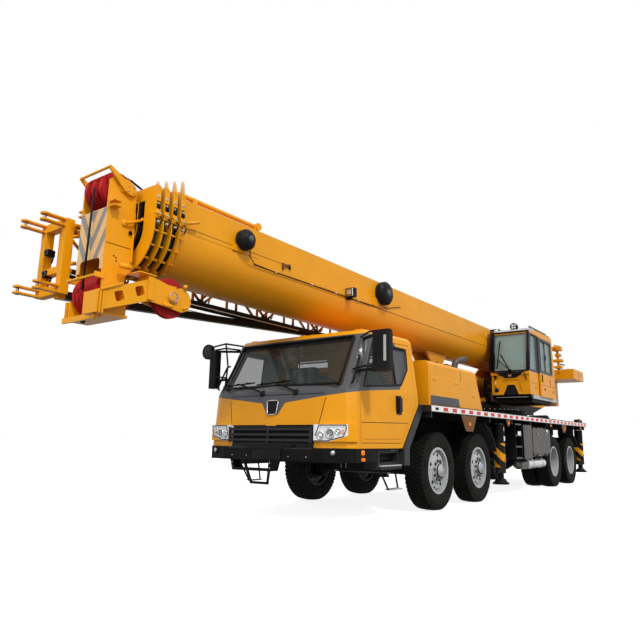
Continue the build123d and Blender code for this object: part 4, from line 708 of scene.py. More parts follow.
#       X from axle 1, Z of the door's window; the rear part is a blind panel
DOOR_WINDOW = [(0.89, 1.88), (1.08, 1.66), (1.88, 1.59), (1.605, 2.13), (0.87, 2.13)]
BLIND = [(0.895, 1.872), (1.08, 1.664), (1.17, 1.656), (1.165, 2.126), (0.874, 2.126)]
HANDLE_CUP = [(1.09, 1.272), (1.232, 1.272), (1.218, 1.502), (1.128, 1.502)]
for side_name, s in SIDES:
    door_skin = skin(f"driver_door_{side_name}")
    look_in = (0, -s, 0)

    def on_door(x, z, sink):
        """Point on the door beside the opening, sunk into it."""
        hit, _ = door_skin((x, s * 1.3, z), look_in)
        return hit + Vector((0, -s * sink, 0))

    door = Piece(f"door_trim_{side_name}", f"driver_door_{side_name}", "trim_plastic")
    edge = grown(DOOR_WINDOW, 0.014)
    if s > 0:
        door.ribbon(dark, door_skin, [(x, s * 1.3, z) for x, z in edge + edge[:1]], look_in,
                    0.024, 0.004, 0.1)
    else:
        # Sunk in the opening: the right mirror stands too near for a proud seal.
        door.tube(dark, [on_door(x, z, 0.012) for x, z in DOOR_WINDOW], 0.009, 8, True)
    for finish, ends, width, lift in (
            (dark, ((0.96, 1.165), (1.975, 1.15)), 0.007, 0.001),
            (cab_paint, ((1.13, 0.975), (1.93, 0.965)), 0.016, 0.005),
            (cab_paint, ((1.13, 0.975), (0.99, 1.145)), 0.016, 0.005)):
        door.ribbon(finish, door_skin, [(x, s * 1.3, z) for x, z in ends], look_in, width, lift, 0.2)
    # Pull handle in its dark cup.
    cup_y = door_skin((1.45, s * 1.3, 1.385), look_in)[0].y + s * 0.02
    door.prism(black, [(x, cup_y - s * 0.016, z) for x, z in HANDLE_CUP], (0, s * 0.012, 0), 0.003)
    door.box(dark, (1.17, cup_y + s * 0.004, 1.385), (0.04, 0.022, 0.18), 0.008)
    door.box(steel, (1.15, cup_y + s * 0.004, 1.44), (0.014, 0.024, 0.014), 0.003)
    door.done()
    glazing = Piece(f"door_pane_{side_name}", f"driver_door_{side_name}", "glass")
    depths = [on_door(x, z, 0.028).y for x, z in grown(DOOR_WINDOW, 0.01)]
    corners = [spot((x, y, z)) for (x, z), y in zip(grown(DOOR_WINDOW, 0.004), depths)]
    glazing.prism(pane, corners, (0, -s * 0.005, 0))
    behind = (corners[0], corners[1], corners[1].lerp(corners[2], 0.11),
              corners[4].lerp(corners[3], 0.4), corners[4])
    blind = [spot((x, corner.y + s * 0.004, z)) for (x, z), corner in zip(BLIND, behind)]
    glazing.prism(grey, blind, (0, s * 0.004, 0))
    glazing.tube(dark, [corner + Vector((0, s * 0.004, 0)) for corner in blind[2:4]], 0.01, 8)
    glazing.done()

cab = Piece("cab_trim", "carrier", "trim_plastic")
front = skin("driver_cab")
RAKE = math.atan2(0.445, 0.78)                  # lean of the windscreen
GLASS_MID = spot((1.9625, 0, 1.92))
GLASS_UP = Vector((-math.sin(RAKE), 0, math.cos(RAKE)))
GLASS_OUT = Vector((math.cos(RAKE), 0, math.sin(RAKE)))


def on_glass(y, rise, out=-0.026):
    return GLASS_MID + Vector((0, y, 0)) + GLASS_UP * rise + GLASS_OUT * out


seal = ((-0.958, -0.353), (0.958, -0.353), (0.934, 0.353), (-0.934, 0.353))
cab.tube(dark, [on_glass(y, rise, -0.012) for y, rise in seal], 0.016, 8, True)
shade = ((-0.936, 0.29), (0.936, 0.29), (0.933, 0.352), (-0.933, 0.352))
cab.prism(dark, [on_glass(y, rise, -0.03) for y, rise in shade], GLASS_OUT * 0.003)
# Wipers: hub, arm and blade each.
for pivot, blade_low, blade_high in ((-0.2, -0.98, -0.42), (0.34, -0.36, 0.2)):
    hub, _ = front((2.3, pivot, 1.515), AHEAD)
    cab.lathe(dark, hub - GLASS_OUT * 0.01, GLASS_OUT, [(0, 0.042), (0.02, 0.042), (0.034, 0.026),
                                                        (0.036, 0)], 16)
    tip = on_glass((blade_low + blade_high) / 2, -0.306, 0.012)
    cab.tube(black, [hub + GLASS_OUT * 0.02, hub.lerp(tip, 0.5) + GLASS_OUT * 0.03, tip], 0.01, 6)
    cab.tube(black, [on_glass(blade_low, -0.325, -0.004), on_glass(blade_high, -0.288, -0.004)], 0.011, 6)
    for share in (0.2, 0.5, 0.8):
        y = blade_low + (blade_high - blade_low) * share
        cab.box(black, on_glass(y, -0.325 + 0.037 * share, 0.006), (0.02, 0.06, 0.02), 0.003)
# Hood's seams and the louvre line above the grille.
for s in (-1, 1):
    cab.ribbon(black, front, [(2.3, s * 0.79, 1.44), (2.3, s * 0.712, 1.118)], AHEAD, 0.009, 0.001)
cab.ribbon(black, front, [(2.3, -0.715, 1.112), (2.3, 0.715, 1.112)], AHEAD, 0.012, 0.001, 0.2)
cab.ribbon(dark, front, [(2.3, -0.76, 1.488), (2.3, 0.76, 1.488)], AHEAD, 0.008, 0.002, 0.2)
# Blank badge in a bright frame.
SHIELD = [(-0.08, 1.418), (0.08, 1.418), (0.09, 1.4), (0.074, 1.258), (0.058, 1.244), (-0.058, 1.244),
          (-0.074, 1.258), (-0.09, 1.4)]
cab.patch(dark, front, [(2.3, y, z) for y, z in SHIELD], AHEAD, 0.012)
hits = [front((2.3, y, z), AHEAD) for y, z in SHIELD]
cab.tube(chrome, [hit + normal * 0.012 for hit, normal in hits], 0.007, 8, True)
# Roof: marker lamps, drip rails and the rear hatch.
for y in (-0.9, 0, 0.9):
    cab.box(amber, (1.6, y, 2.318), (0.07, 0.11, 0.03), 0.01)
for s in (-1, 1):
    cab.tube(dark, [(0.75, s * 1.085, 2.272), (1.6, s * 1.025, 2.272)], 0.007, 6)
cab.box(cab_paint, (1.12, 0, 2.316), (0.56, 0.66, 0.026), 0.008)
cab.ring(dark, (1.12, 0, 2.328), (0, 0, 1), 0.045, 0.008)
# Rear wall: window seals, vent and grab handles.
for y in (-0.52, 0.52):
    cab.tube(rubber, [(0.686, y + dy, 1.93 + dz) for dy, dz in ((-0.29, -0.17), (0.29, -0.17), (0.29, 0.17),
                                                                (-0.29, 0.17))], 0.014, 8, True)
cab.box(dark, (0.684, 0, 1.62), (0.016, 0.5, 0.16), 0.004)
for row in range(5):
    cab.box(black, (0.678, 0, 1.565 + row * 0.028), (0.02, 0.46, 0.01), 0.002)
for s in (-1, 1):
    cab.tube(dark, [(2.075, s * 1.1, 1.6), (2.09, s * 1.13, 1.62), (1.93, s * 1.12, 1.93),
                    (1.9, s * 1.08, 1.95)], 0.013, 8)
cab.done()

# ================================================================ head lamps, bumper and mirrors
lamps = Piece("head_lamp_details", "carrier", "lamp")
lamp_skin = skin("head_lamps")
#      Y, Z, radius and lens of each unit, on either side
UNITS = [(0.778, 0.995, 0.048, lens), (0.895, 1.02, 0.062, pane), (0.998, 1.04, 0.036, lens)]
for s in (-1, 1):
    for y, z, radius, glass in UNITS:
        hit, normal = lamp_skin((2.4, s * y, z), AHEAD)
        if hit is None:
            continue
        lamps.lathe(chrome, hit - normal * 0.002, normal, [(0, radius), (0.01, radius),
                                                           (0.012, radius * 0.86), (0.004, radius * 0.55),
                                                           (0.004, 0)], 28)
        lamps.lathe(black, hit, normal, [(0.002, radius * 0.62), (0.009, radius * 0.62),
                                         (0.01, radius * 0.54)], 24)
        lamps.lathe(glass, hit, normal, [(0.005, radius * 0.54), (0.014, radius * 0.36), (0.017, 0)], 24)
    rim = [(0.692, 0.932), (0.86, 0.934), (1.06, 0.984), (1.092, 1.06), (1.092, 1.112),
           (0.758, 1.112), (0.692, 0.932)]
    for (y1, z1), (y2, z2) in zip(rim, rim[1:]):
        lamps.ribbon(black, lamp_skin, [(2.4, s * y1, z1), (2.4, s * y2, z2)], AHEAD, 0.01, 0.003)
    for k in range(8):
        y = 0.775 + k * 0.038
        lamps.ribbon(chrome, lamp_skin, [(2.4, s * y, 1.088), (2.4, s * (y + 0.026), 1.098)],
                     AHEAD, 0.01, 0.003)
    for y, z in ((1.055, 1.052), (1.055, 1.022)):
        hit, normal = lamp_skin((2.4, s * y, z), AHEAD)
        lamps.box(amber, hit + normal * 0.004, (0.012, 0.024, 0.016), 0.003)
lamps.done()

bumper = Piece("bumper_details", "carrier", "dark_paint")
bumper_skin = skin("front_bumper")
for step in range(75):
    bumper.box(black, (2.272, -0.648 + step * 0.0175, 1.0), (0.006, 0.004, 0.17), 0)
for row in range(11):
    bumper.box(black, (2.27, 0, 0.918 + row * 0.0165), (0.004, 1.3, 0.004), 0)
for y in (-0.28, 0.28):
    bumper.box(dark, (2.29, y, 0.872), (0.012, 0.2, 0.03), 0.004)
bumper.box(dark, (2.302, 0, 0.858), (0.014, 0.5, 0.06), 0.006)
bumper.box(dark, (2.304, 0, 0.765), (0.01, 0.46, 0.12), 0.005)
FOG_R = 0.045
for s in (-1, 1):
    hit, normal = bumper_skin((2.5, s * 0.95, 0.8), AHEAD)
    bumper.lathe(dark, hit - normal * 0.004, normal, [(0, FOG_R), (0.022, FOG_R), (0.024, FOG_R * 0.88),
                                                      (0.01, FOG_R * 0.6), (0.01, 0)], 28)
    bumper.lathe(mirror, hit, normal, [(0.016, FOG_R * 0.6), (0.024, FOG_R * 0.3), (0.026, 0)], 24)
    for y in (0.34, 0.6):
        hit, normal = bumper_skin((2.5, s * y, 0.745), AHEAD)
        bumper.bolt(zinc, hit, normal, 0.008, 0.008)
    hit, normal = bumper_skin((1.96, s * 1.5, 0.8), (0, -s, 0))
    bumper.lathe(amber, hit - normal * 0.002, normal, [(0, 0.034), (0.012, 0.03), (0.018, 0.016),
                                                       (0.018, 0)], 24)
    bumper.box(amber, hit + Vector((0, s * 0.007, -0.075)), (0.07, 0.014, 0.036), 0.005)
    bumper.ribbon(black, bumper_skin, [(2.5, s * 0.3, 0.712), (2.5, s * 1.04, 0.712)], AHEAD, 0.006, 0.002)
for y in (-0.6, 0.04):
    for z in (0.6, 0.66):
        bumper.bolt(zinc, (2.272, y, z), (1, 0, 0), 0.01, 0.008)
bumper.tube(black, [(2.25, -0.4, 0.66), (2.26, -0.27, 0.42), (2.26, 0.0, 0.42), (2.25, 0.02, 0.66)], 0.02, 10)
bumper.box(dark, (2.25, -0.14, 0.425), (0.07, 0.25, 0.016), 0.004)
bumper.done()

steps = Piece("cab_steps", "carrier", "trim_plastic")
for s in (-1, 1):
    steps.box(silver, (1.37, s * 1.205, 0.645), (0.5, 0.035, 0.016), 0.004)
    for k in range(12):
        steps.box(zinc, (1.15 + k * 0.04, s * 1.16, 0.644), (0.02, 0.05, 0.01), 0.002)
    steps.tube(dark, [(1.55, s * 1.15, 0.61), (1.36, s * 1.16, 0.36), (1.12, s * 1.16, 0.36)], 0.012, 8)
    steps.tube(dark, [(1.18, s * 1.15, 0.61), (1.12, s * 1.16, 0.36)], 0.012, 8)
    steps.box(silver, (1.235, s * 1.17, 0.362), (0.24, 0.11, 0.014), 0.004)
    for z in (0.7, 0.755):
        steps.box(black, (1.37, s * 1.086, z), (0.4, 0.01, 0.012), 0.003)
    steps.box(grey, (1.25, s * 1.184, 0.825), (0.2, 0.012, 0.02), 0.003)
steps.done()

mirrors = Piece("mirror_details", "carrier", "trim_plastic")
#     X, Y, width, low and top of the two housings, and their glass's distance behind X
for x, y, wide, low, top, back in ((2.02, 1.485, 0.23, 1.72, 2.2, 0.058),
                                   (1.96, -1.34, 0.15, 1.64, 2.18, 0.0535)):
    s = math.copysign(1, y)
    middle = (low + top) / 2
    mirrors.box(mirror, (x - back, y, middle + 0.02), (0.008, wide - 0.045, top - low - 0.18), 0.003)
    if s > 0:
        mirrors.box(dark, (x - 0.055, y, middle), (0.01, wide - 0.016, top - low - 0.03), 0.004)
        mirrors.box(silver, (x + 0.056, y + 0.066, middle + 0.02), (0.012, 0.034, 0.3), 0.005)
    for foot_x, foot_y, z in ((1.77, 1.03, 2.16), (1.985, 1.06, 1.74)):
        elbow = ((foot_x + x) / 2 + 0.05, (s * foot_y + y) / 2, z + 0.055)
        mirrors.tube(dark, [(foot_x, s * foot_y, z + 0.035), elbow, (x + 0.01, y, z + 0.035)], 0.012, 8)
DOMED = [(0, 0.1), (0.006, 0.085), (0.012, 0.05), (0.014, 0)]
mirrors.lathe(pane, (1.9805, -1.49, 2.18), (1, 0, 0), DOMED)
mirrors.lathe(mirror, (1.9395, -1.49, 2.18), (-1, 0, 0), DOMED)
mirrors.ring(dark, (1.982, -1.49, 2.18), (1, 0, 0), 0.098, 0.01)
mirrors.tube(dark, [(1.96, -1.4, 2.245), (1.9, -1.2, 2.285), (1.7, -1.06, 2.262)], 0.013, 8)
mirrors.tube(dark, [(1.9, -1.2, 2.285), (1.94, -1.1, 1.95), (1.98, -1.1, 1.62)], 0.012, 8)
mirrors.done()

# ================================================================ deck edge and hood
EDGE = 1.3775                                   # |y| of the stripes along the deck
EDGE_Z = 1.377
RED_BLOCKS = 28
RED_PITCH = 0.3
trim = Piece("deck_edge_trim", "carrier", "trim_plastic")
for s in (-1, 1):
    trim.box(white, (-3.81, s * EDGE, EDGE_Z), (8.74, 0.004, 0.076), 0.001)
    trim.box(black, (0.4, s * (EDGE + 0.003), EDGE_Z), (0.1, 0.004, 0.034), 0.001)
    for number in range(RED_BLOCKS):
        trim.box(signal, (0.12 - number * RED_PITCH, s * (EDGE + 0.003), EDGE_Z), (0.15, 0.004, 0.05), 0.001)
for number in range(8):
    trim.box(signal if number % 2 else white, (-8.202, -1.22 + number * 0.3486, EDGE_Z),
             (0.004, 0.3, 0.06), 0.001)
#        X, half of the upper and lower width, drop of each bracket below the deck
BRACKETS = [(-0.735, 0.3, 0.13, 0.24), (-2.46, 0.1, 0.04, 0.12), (-5.05, 0.045, 0.025, 0.08),
            (-6.1, 0.2, 0.09, 0.17), (-7.6, 0.06, 0.03, 0.09)]
DECK_FOOT = 1.332
# Brackets in the darkened enamel: painted shade below the deck's edge.
for x, head_half, foot_half, drop in BRACKETS:
    for s in (-1, 1):
        outline = [(x - head_half, DECK_FOOT), (x + head_half, DECK_FOOT), (x + foot_half, DECK_FOOT - drop),
                   (x - foot_half, DECK_FOOT - drop)]
        trim.prism(painted_shade_ochre, [(corner_x, s * 1.352, z) for corner_x, z in outline], (0, s * 0.014, 0), 0.003)
        high = 0.05 if drop > 0.1 else 0.036
        trim.box(amber, (x, s * 1.372, DECK_FOOT - drop * 0.55), (0.052, 0.016, high), 0.006)
trim.done()

plates = Piece("deck_plates", "carrier", "dark_paint")
for row in range(9):
    x = -1.96 - row * 0.72
    for y in (-0.995, -0.335, 0.335, 0.995):
        # The ring and what turns on it stay clear.
        if math.hypot(x + 5.0, abs(y)) < (1.5 if abs(y) < 0.5 else 1.12):
            continue
        plates.box(chequer, (x, y, 1.4215), (0.69, 0.64, 0.007), 0.003)
        plates.box(dark, (x + 0.24, y, 1.4265), (0.09, 0.03, 0.004), 0.001)
        for dx in (-0.315, 0.315):
            for dy in (-0.29, 0.29):
                plates.bolt(zinc, (x + dx, y + dy, 1.425), (0, 0, 1), 0.009, 0.004)
for s in (-1, 1):
    for x in (-2.3, -4.1, -6.0, -7.4):
        plates.ring(iron, (x, s * 1.335, 1.43), (0, 0, 1), 0.02, 0.006, 20, 6)
    plates.box(black, (-4.9, s * 1.362, 1.424), (6.6, 0.018, 0.012), 0.003)
plates.done()

hood = Piece("hood_panels", "carrier", "yellow_paint")
RAISED = [(0.34, 1.445), (0.34, 1.84), (-0.62, 1.84), (-0.8, 1.695), (-1.375, 1.695), (-1.505, 1.445)]
STRIP = [(0.335, 1.45), (0.335, 1.572), (-0.6, 1.572), (-0.655, 1.45)]
for s in (-1, 1):
    hood.prism(deck_paint, [(x, s * 1.248, z) for x, z in RAISED], (0, s * 0.009, 0), 0.004)
    hood.prism(grey, [(x, s * 1.256, z) for x, z in STRIP], (0, s * 0.005, 0), 0.002)
    for x in (0.2, -0.55, -1.2):
        hood.box(deck_paint, (x, s * 1.26, 1.8 if x > -0.7 else 1.65), (0.1, 0.01, 0.026), 0.004)
    hood.box(black, (-0.72, s * 1.2505, 1.93), (0.006, 0.004, 0.16), 0)
for row in range(9):
    hood.box(dark, (-0.2, -1.253, 1.862 + row * 0.018), (0.74, 0.012, 0.008), 0.002, (12, 0, 0))
for x in (0.05, -0.42, -0.9):
    hood.box(black, (x, 0, 2.061), (0.007, 2.3, 0.004), 0)
for y in (-0.9, 0.9):
    for x in (0.2, -0.75):
        hood.box(dark, (x, y, 2.068), (0.12, 0.05, 0.02), 0.006)
# Exhaust stub.
hood.tube(iron, [(-1.08, 1.0, 2.03), (-1.08, 1.0, 2.13), (-1.095, 1.005, 2.185), (-1.14, 1.02, 2.225),
                 (-1.2, 1.04, 2.245), (-1.34, 1.08, 2.275)], 0.052, 20)
hood.ring(iron, (-1.08, 1.0, 2.066), (0, 0, 1), 0.056, 0.01)
# Front face of the hood: cooling slots above the engine.
for row in range(10):
    hood.box(dark, (0.382, 0, 1.56 + row * 0.045), (0.012, 1.5, 0.02), 0.003, (0, 20, 0))
hood.done()

# ================================================================ tanks, step box and rear end
boxes = Piece("tank_details", "carrier", "dark_paint")
# Metal bands over the fuel tank's rounded edges.
TANK_LOW, TANK_HIGH, TANK_IN, TANK_OUT, TANK_ROUND = 0.668, 1.252, 0.95, 1.347, 0.072
STRAP_WIDE, STRAP_THICK = 0.055, 0.006
edge, top, foot = TANK_OUT - TANK_ROUND, TANK_HIGH - TANK_ROUND, TANK_LOW + TANK_ROUND
bend = [(TANK_ROUND * math.sin(a), TANK_ROUND * math.cos(a)) for a in map(math.radians, (22, 45, 68))]
inner = [(TANK_IN, TANK_HIGH), (edge, TANK_HIGH), *((edge + a, top + b) for a, b in bend), (TANK_OUT, top),
         (TANK_OUT, foot), *((edge + b, foot - a) for a, b in bend), (edge, TANK_LOW), (TANK_IN, TANK_LOW)]
middle = (TANK_HIGH + TANK_LOW) / 2
outer = [(y + (STRAP_THICK if y > edge else 0), z + math.copysign(STRAP_THICK, z - middle)) for y, z in inner]
for x in (-4.66, -4.14):
    boxes.prism(black, [(x - STRAP_WIDE / 2, y, z) for y, z in outer + inner[::-1]], (STRAP_WIDE, 0, 0))
    boxes.box(zinc, (x, 1.36, 1.1), (0.03, 0.016, 0.06), 0.004)
boxes.lathe(steel, (-4.78, 1.343, 1.16), (0, 1, 0), [(0, 0.045), (0.02, 0.045),
                                                     (0.028, 0.038), (0.03, 0)], 20)
# Side cover ahead of the tank, and the open steps before it.
boxes.box(tank_paint, (-3.52, 1.35, 0.96), (0.5, 0.016, 0.6), 0.006)
boxes.box(tank_paint, (-4.4, 1.348, 0.96), (1.16, 0.012, 0.48), 0.005)
for x in (-2.86, -3.2):
    boxes.box(black, (x, 1.21, 0.96), (0.016, 0.27, 0.62), 0.004)
boxes.box(black, (-3.03, 1.09, 0.96), (0.34, 0.016, 0.62), 0.004)
for z in (0.66, 0.86, 1.06, 1.26):
    boxes.box(grey, (-3.03, 1.21, z), (0.34, 0.27, 0.028), 0.006)
boxes.box(white, (-3.06, 1.348, 1.1), (0.16, 0.006, 0.07), 0.002)
for x in (-4.5, -3.5):
    boxes.box(dark, (x, -1.35, 0.96), (0.92, 0.014, 0.5), 0.006)
    boxes.box(steel, (x, -1.362, 1.1), (0.1, 0.016, 0.03), 0.005)
# Silencer: bands and the dark forward cone.
for x in (-4.7, -4.1, -3.8):
    boxes.ring(zinc, (x, 1.18, 0.53), (1, 0, 0), 0.088, 0.006, 32, 6)
boxes.lathe(iron, (-3.405, 1.18, 0.53), (1, 0, 0), [(0, 0.083), (0.05, 0.06), (0.16, 0.045), (0.16, 0)], 24)
# Battery box cover, air tanks and filters on the right.
for x in (-2.95, -1.95):
    boxes.lathe(dark, (x - 0.2, -1.1, 0.95), (1, 0, 0), [(0, 0), (0.02, 0.09), (0.05, 0.115), (0.35, 0.115),
                                                         (0.38, 0.09), (0.4, 0)], 28)
    for end in (-0.12, 0.12):
        boxes.ring(zinc, (x + end, -1.1, 0.95), (1, 0, 0), 0.117, 0.006, 28, 6)
        boxes.box(black, (x + end, -1.1, 1.19), (0.04, 0.06, 0.28), 0.004)
boxes.done()

rear = Piece("rear_end", "carrier", "dark_paint")
for s in (-1, 1):
    for k, colour in enumerate((red_lens, amber, lens)):
        rear.box(colour, (-8.347, s * (1.05 - k * 0.12), 0.6), (0.014, 0.105, 0.08), 0.006)
    rear.box(black, (-8.343, s * 0.93, 0.6), (0.01, 0.38, 0.105), 0.004)
    rear.box(rubber, (-7.86, s * 0.895, 0.72), (0.01, 0.56, 0.42), 0.003)
    rear.box(black, (-7.86, s * 0.895, 0.95), (0.03, 0.6, 0.04), 0.004)
    rear.box(signal, (-8.346, s * 0.45, 0.6), (0.008, 0.3, 0.05), 0.002)
    rear.box(black, (-7.95, s * 1.24, 1.462), (0.46, 0.09, 0.09), 0.012)
    # Small bracket in the darkened enamel: painted shade.
    rear.box(painted_shade_ochre, (-7.8, s * 1.29, 1.47), (0.06, 0.03, 0.11), 0.006)
    arch = [(-6.4 + 0.46 * math.cos(a), s * 0.55, 1.165 + 0.4 * math.sin(a)) for a in
            (math.radians(t) for t in range(34, 150, 8))]
    rear.prism(rubber, arch, (0, s * 0.36, 0), 0.012)
rear.box(white, (-8.346, 0, 0.6), (0.006, 0.4, 0.1), 0.003)
rear.lathe(iron, (-8.335, 0, 1.175), (0, 0, -1), [(0, 0), (0, 0.04), (0.02, 0.04), (0.025, 0.022),
                                                  (0.18, 0.022), (0.18, 0)], 16)
rear.tube(black, [(-8.25, 0.3, 1.1), (-8.3, 0.3, 1.1), (-8.32, 0.3, 0.95)], 0.012, 8)
rear.done()

under = Piece("underside_details", "carrier", "dark_paint")
for x in (0.0, -1.47):
    for s in (-1, 1):
        for end in (-0.055, 0.055):
            under.tube(zinc, [(x + end, s * 0.35, 0.52), (x + end, s * 0.35, 0.82), (x + end, s * 0.44, 0.82),
                              (x + end, s * 0.44, 0.52)], 0.01, 6)
        under.tube(black, [(x + 0.16, s * 0.47, 0.5), (x + 0.3, s * 0.5, 1.02)], 0.03, 12)
        under.tube(steel, [(x + 0.16, s * 0.47, 0.46), (x + 0.18, s * 0.474, 0.56)], 0.014, 8)
        under.lathe(dark, (x - 0.07, s * 0.62, 0.6), (-1, 0, 0), [(0, 0.075), (0.05, 0.085), (0.09, 0.085),
                                                                  (0.14, 0.05), (0.14, 0)], 20)
    under.tube(iron, [(x - 0.14, -0.66, 0.47), (x - 0.14, 0.66, 0.47)], 0.018, 10)
for x in (-5.805, -7.155):
    for s in (-1, 1):
        under.lathe(dark, (x + 0.09, s * 0.44, 0.64), (1, 0, 0.3), [(0, 0.07), (0.05, 0.085), (0.1, 0.085),
                                                                    (0.18, 0.05), (0.18, 0)], 20)
    under.bolts(zinc, (x + 0.232, 0, 0.54), (1, 0, 0), 0.12, 10, 0.01, 0.012)
for y in (-0.25, 0.2, 0.25):
    under.tube(black, [(-1.9, y, 0.865), (-5.2, y, 0.865)], 0.014, 8)
under.done()


# ================================================================ boom
flank = skin("boom_base")
boom = Piece("boom_details", "boom_base", "trim_plastic")
# Lines along the flanks: a black line, and two lines in the darkened enamel that paint the shade along the
# flank's lower bend.
for s in (-1, 1):
    look_in = (0, -s, 0)
    boom.ribbon(black, flank, [(2.45, s * 0.6, 3.04), (4.05, s * 0.6, 3.04)], look_in, 0.005, 0.0012, 1.5)
    boom.ribbon(painted_shade_ochre, flank, [(3.0, s * 0.6, 2.99), (4.05, s * 0.6, 2.99)], look_in, 0.004, 0.0012, 1.5)
    boom.ribbon(painted_shade_ochre, flank, [(-6.4, s * 0.6, 2.93), (3.08, s * 0.6, 2.904)], look_in, 0.01, 0.0015, 1.5)
for x, z, radius in ((3.28, 3.13, 0.115), (0.24, 3.15, 0.18)):
    for share, thick in ((0.95, 0.006), (0.7, 0.005), (0.45, 0.005)):
        boom.ring(grey, (x, BOOM_Y + 0.148 - 0.052 * share ** 4, z), (0, 1, 0),
                  radius * share - 0.012, thick, 36, 6)
    boom.lathe(grey, (x, BOOM_Y + 0.146, z), (0, 1, 0), [(0, radius * 0.3), (0.012, radius * 0.28),
                                                         (0.016, radius * 0.12), (0.016, 0)], 24)
    for turn in range(12):
        a = math.pi * turn / 6
        boom.box(dark, (x + math.cos(a) * (radius - 0.002), BOOM_Y + 0.06,
                        z + math.sin(a) * (radius - 0.002)), (0.03, 0.08, 0.01), 0.003,
                 (0, 90 - math.degrees(a), 0))
    boom.box(paint, (x + radius * 0.5, BOOM_Y + 0.01, z - radius * 0.9),
             (radius * 1.6, 0.02, radius * 0.7), 0.004)
# Square floodlight: rim, cells and stirrup.
boom.box(chrome, (1.213, BOOM_Y + 0.07, 2.965), (0.01, 0.118, 0.108), 0.003)
boom.box(black, (1.216, BOOM_Y + 0.07, 2.965), (0.01, 0.106, 0.096), 0.003)
boom.box(zinc, (1.22, BOOM_Y + 0.07, 2.965), (0.006, 0.078, 0.072), 0.003)
boom.box(black, (1.17, BOOM_Y + 0.04, 2.88), (0.05, 0.09, 0.02), 0.004)
for fin in range(6):
    boom.box(dark, (1.124, BOOM_Y + 0.022 + fin * 0.019, 2.965), (0.018, 0.005, 0.11), 0.001)
# Signal cable from the front reel, and clips.
boom.tube(black, [(3.25, BOOM_Y + 0.1, 3.03), (3.2, BOOM_Y + 0.06, 2.955), (3.08, BOOM_Y + 0.022, 2.905),
                  (2.8, BOOM_Y + 0.014, 2.9), (0.6, BOOM_Y + 0.014, 2.915), (0.05, BOOM_Y + 0.016, 2.96),
                  (-0.1, BOOM_Y + 0.016, 3.0), (-0.35, BOOM_Y + 0.014, 3.06)], 0.006, 6)
for x in (2.7, 2.0, 1.45, 0.9):
    boom.box(steel, (x, BOOM_Y + 0.01, 2.902 + (2.8 - x) * 0.006), (0.03, 0.026, 0.016), 0.003)
# Reel bracket in the darkened enamel: painted shade.
boom.box(painted_shade_ochre, (2.5, BOOM_Y + 0.014, 3.04), (0.12, 0.028, 0.022), 0.004, (0, 12, 0))
boom.box(painted_shade_ochre, (2.57, BOOM_Y + 0.014, 3.01), (0.026, 0.028, 0.08), 0.004)
boom.box(black, (2.45, BOOM_Y + 0.018, 3.015), (0.02, 0.02, 0.04), 0.004)
boom.disc(paint, (-4.1, BOOM_Y, 3.14), (0, 1, 0), 0.06, 0.012, 28, 0.004)
boom.bolts(zinc, (-4.1, BOOM_Y + 0.011, 3.14), (0, 1, 0), 0.04, 4, 0.008, 0.008)
# Hoist ropes and their rollers along the top.
for y in (-0.12, 0.12):
    boom.tube(rope, [(-7.0, y, 3.41), (-6.2, y, 3.405), (4.12, y, 3.405)], 0.011, 8)
for x in (-6.2, -2.6, 1.0, 3.9):
    for y in (-0.22, 0.22):
        boom.box(paint, (x, y, 3.362), (0.1, 0.016, 0.07), 0.004)
    boom.lathe(dark, (x, -0.215, 3.37), (0, 1, 0), [(0, 0), (0, 0.024), (0.03, 0.024), (0.04, 0.018),
                                                    (0.39, 0.018), (0.4, 0.024), (0.43, 0.024),
                                                    (0.43, 0)], 16)
boom.lathe(dark, (2.93, 0.238, 3.425), (0, 1, 0), [(0, 0), (0, 0.03), (0.006, 0.034), (0.008, 0.034),
                                                   (0.008, 0)], 20)
for x in (2.0, -1.0, -4.0):
    boom.box(paint, (x, 0.29, 3.345), (0.08, 0.05, 0.036), 0.006)
boom.done()

for k, body in enumerate(("boom_base", "boom_section_2", "boom_section_3", "boom_section_4")):
    x = 4.2 + 0.1 * k - 0.028                 # middle of the collar
    around_r = BOOM_Y - 0.038 * k + 0.016       # seat of the bolts round the underside
    tip = 3.46 - 0.038 * k
    wide = BOOM_Y + 0.064
    gear = Piece(f"collar_gear_{k + 1}", body, "trim_plastic")
    for s in (-1, 1):
        fin = ((0.4, tip - 0.1), (0.452, tip - 0.1), (0.44, tip + 0.012), (0.428, tip + 0.045),
               (0.416, tip + 0.012))
        gear.prism(tan, [(x - 0.012, s * y, z) for y, z in fin], (0.026, 0, 0), 0.003)
        for y, z, size in ((BOOM_Y + 0.03, 3.23, 0.017), (BOOM_Y + 0.03, 3.16, 0.012),
                           (wide - 0.012, 2.97, 0.014)):
            gear.bolt(zinc, (x, s * y, z), (0, s, 0), size, 0.022)
        gear.box(paint, (x, s * (wide - 0.01), 3.055), (0.05, 0.03, 0.058), 0.006, (0, 20 + 12 * k, 0))
        gear.bolt(zinc, (x, s * (wide + 0.004), 3.055), (0, s, 0), 0.012, 0.012)
        gear.box(black, (x, s * (wide - 0.01), 3.12), (0.03, 0.024, 0.04), 0.005)
        gear.tube(black, [(x - 0.022, s * (wide - 0.01), 3.03), (x - 0.032, s * (wide + 0.018), 3.0),
                          (x - 0.022, s * (wide - 0.01), 2.93)], 0.006, 6)
        for turn in map(math.radians, (-17, -35, -53, -71)):
            gear.bolt(zinc, (x, s * around_r * math.cos(turn), ARC_Z + around_r * math.sin(turn)),
                      (0, s * math.cos(turn), math.sin(turn)), 0.01, 0.012)
    if k == 0:
        gear.tube(paint, [(x - 0.042, BOOM_Y + 0.05, 3.06), (x - 0.192, BOOM_Y + 0.07, 3.11)], 0.016, 10)
    gear.done()

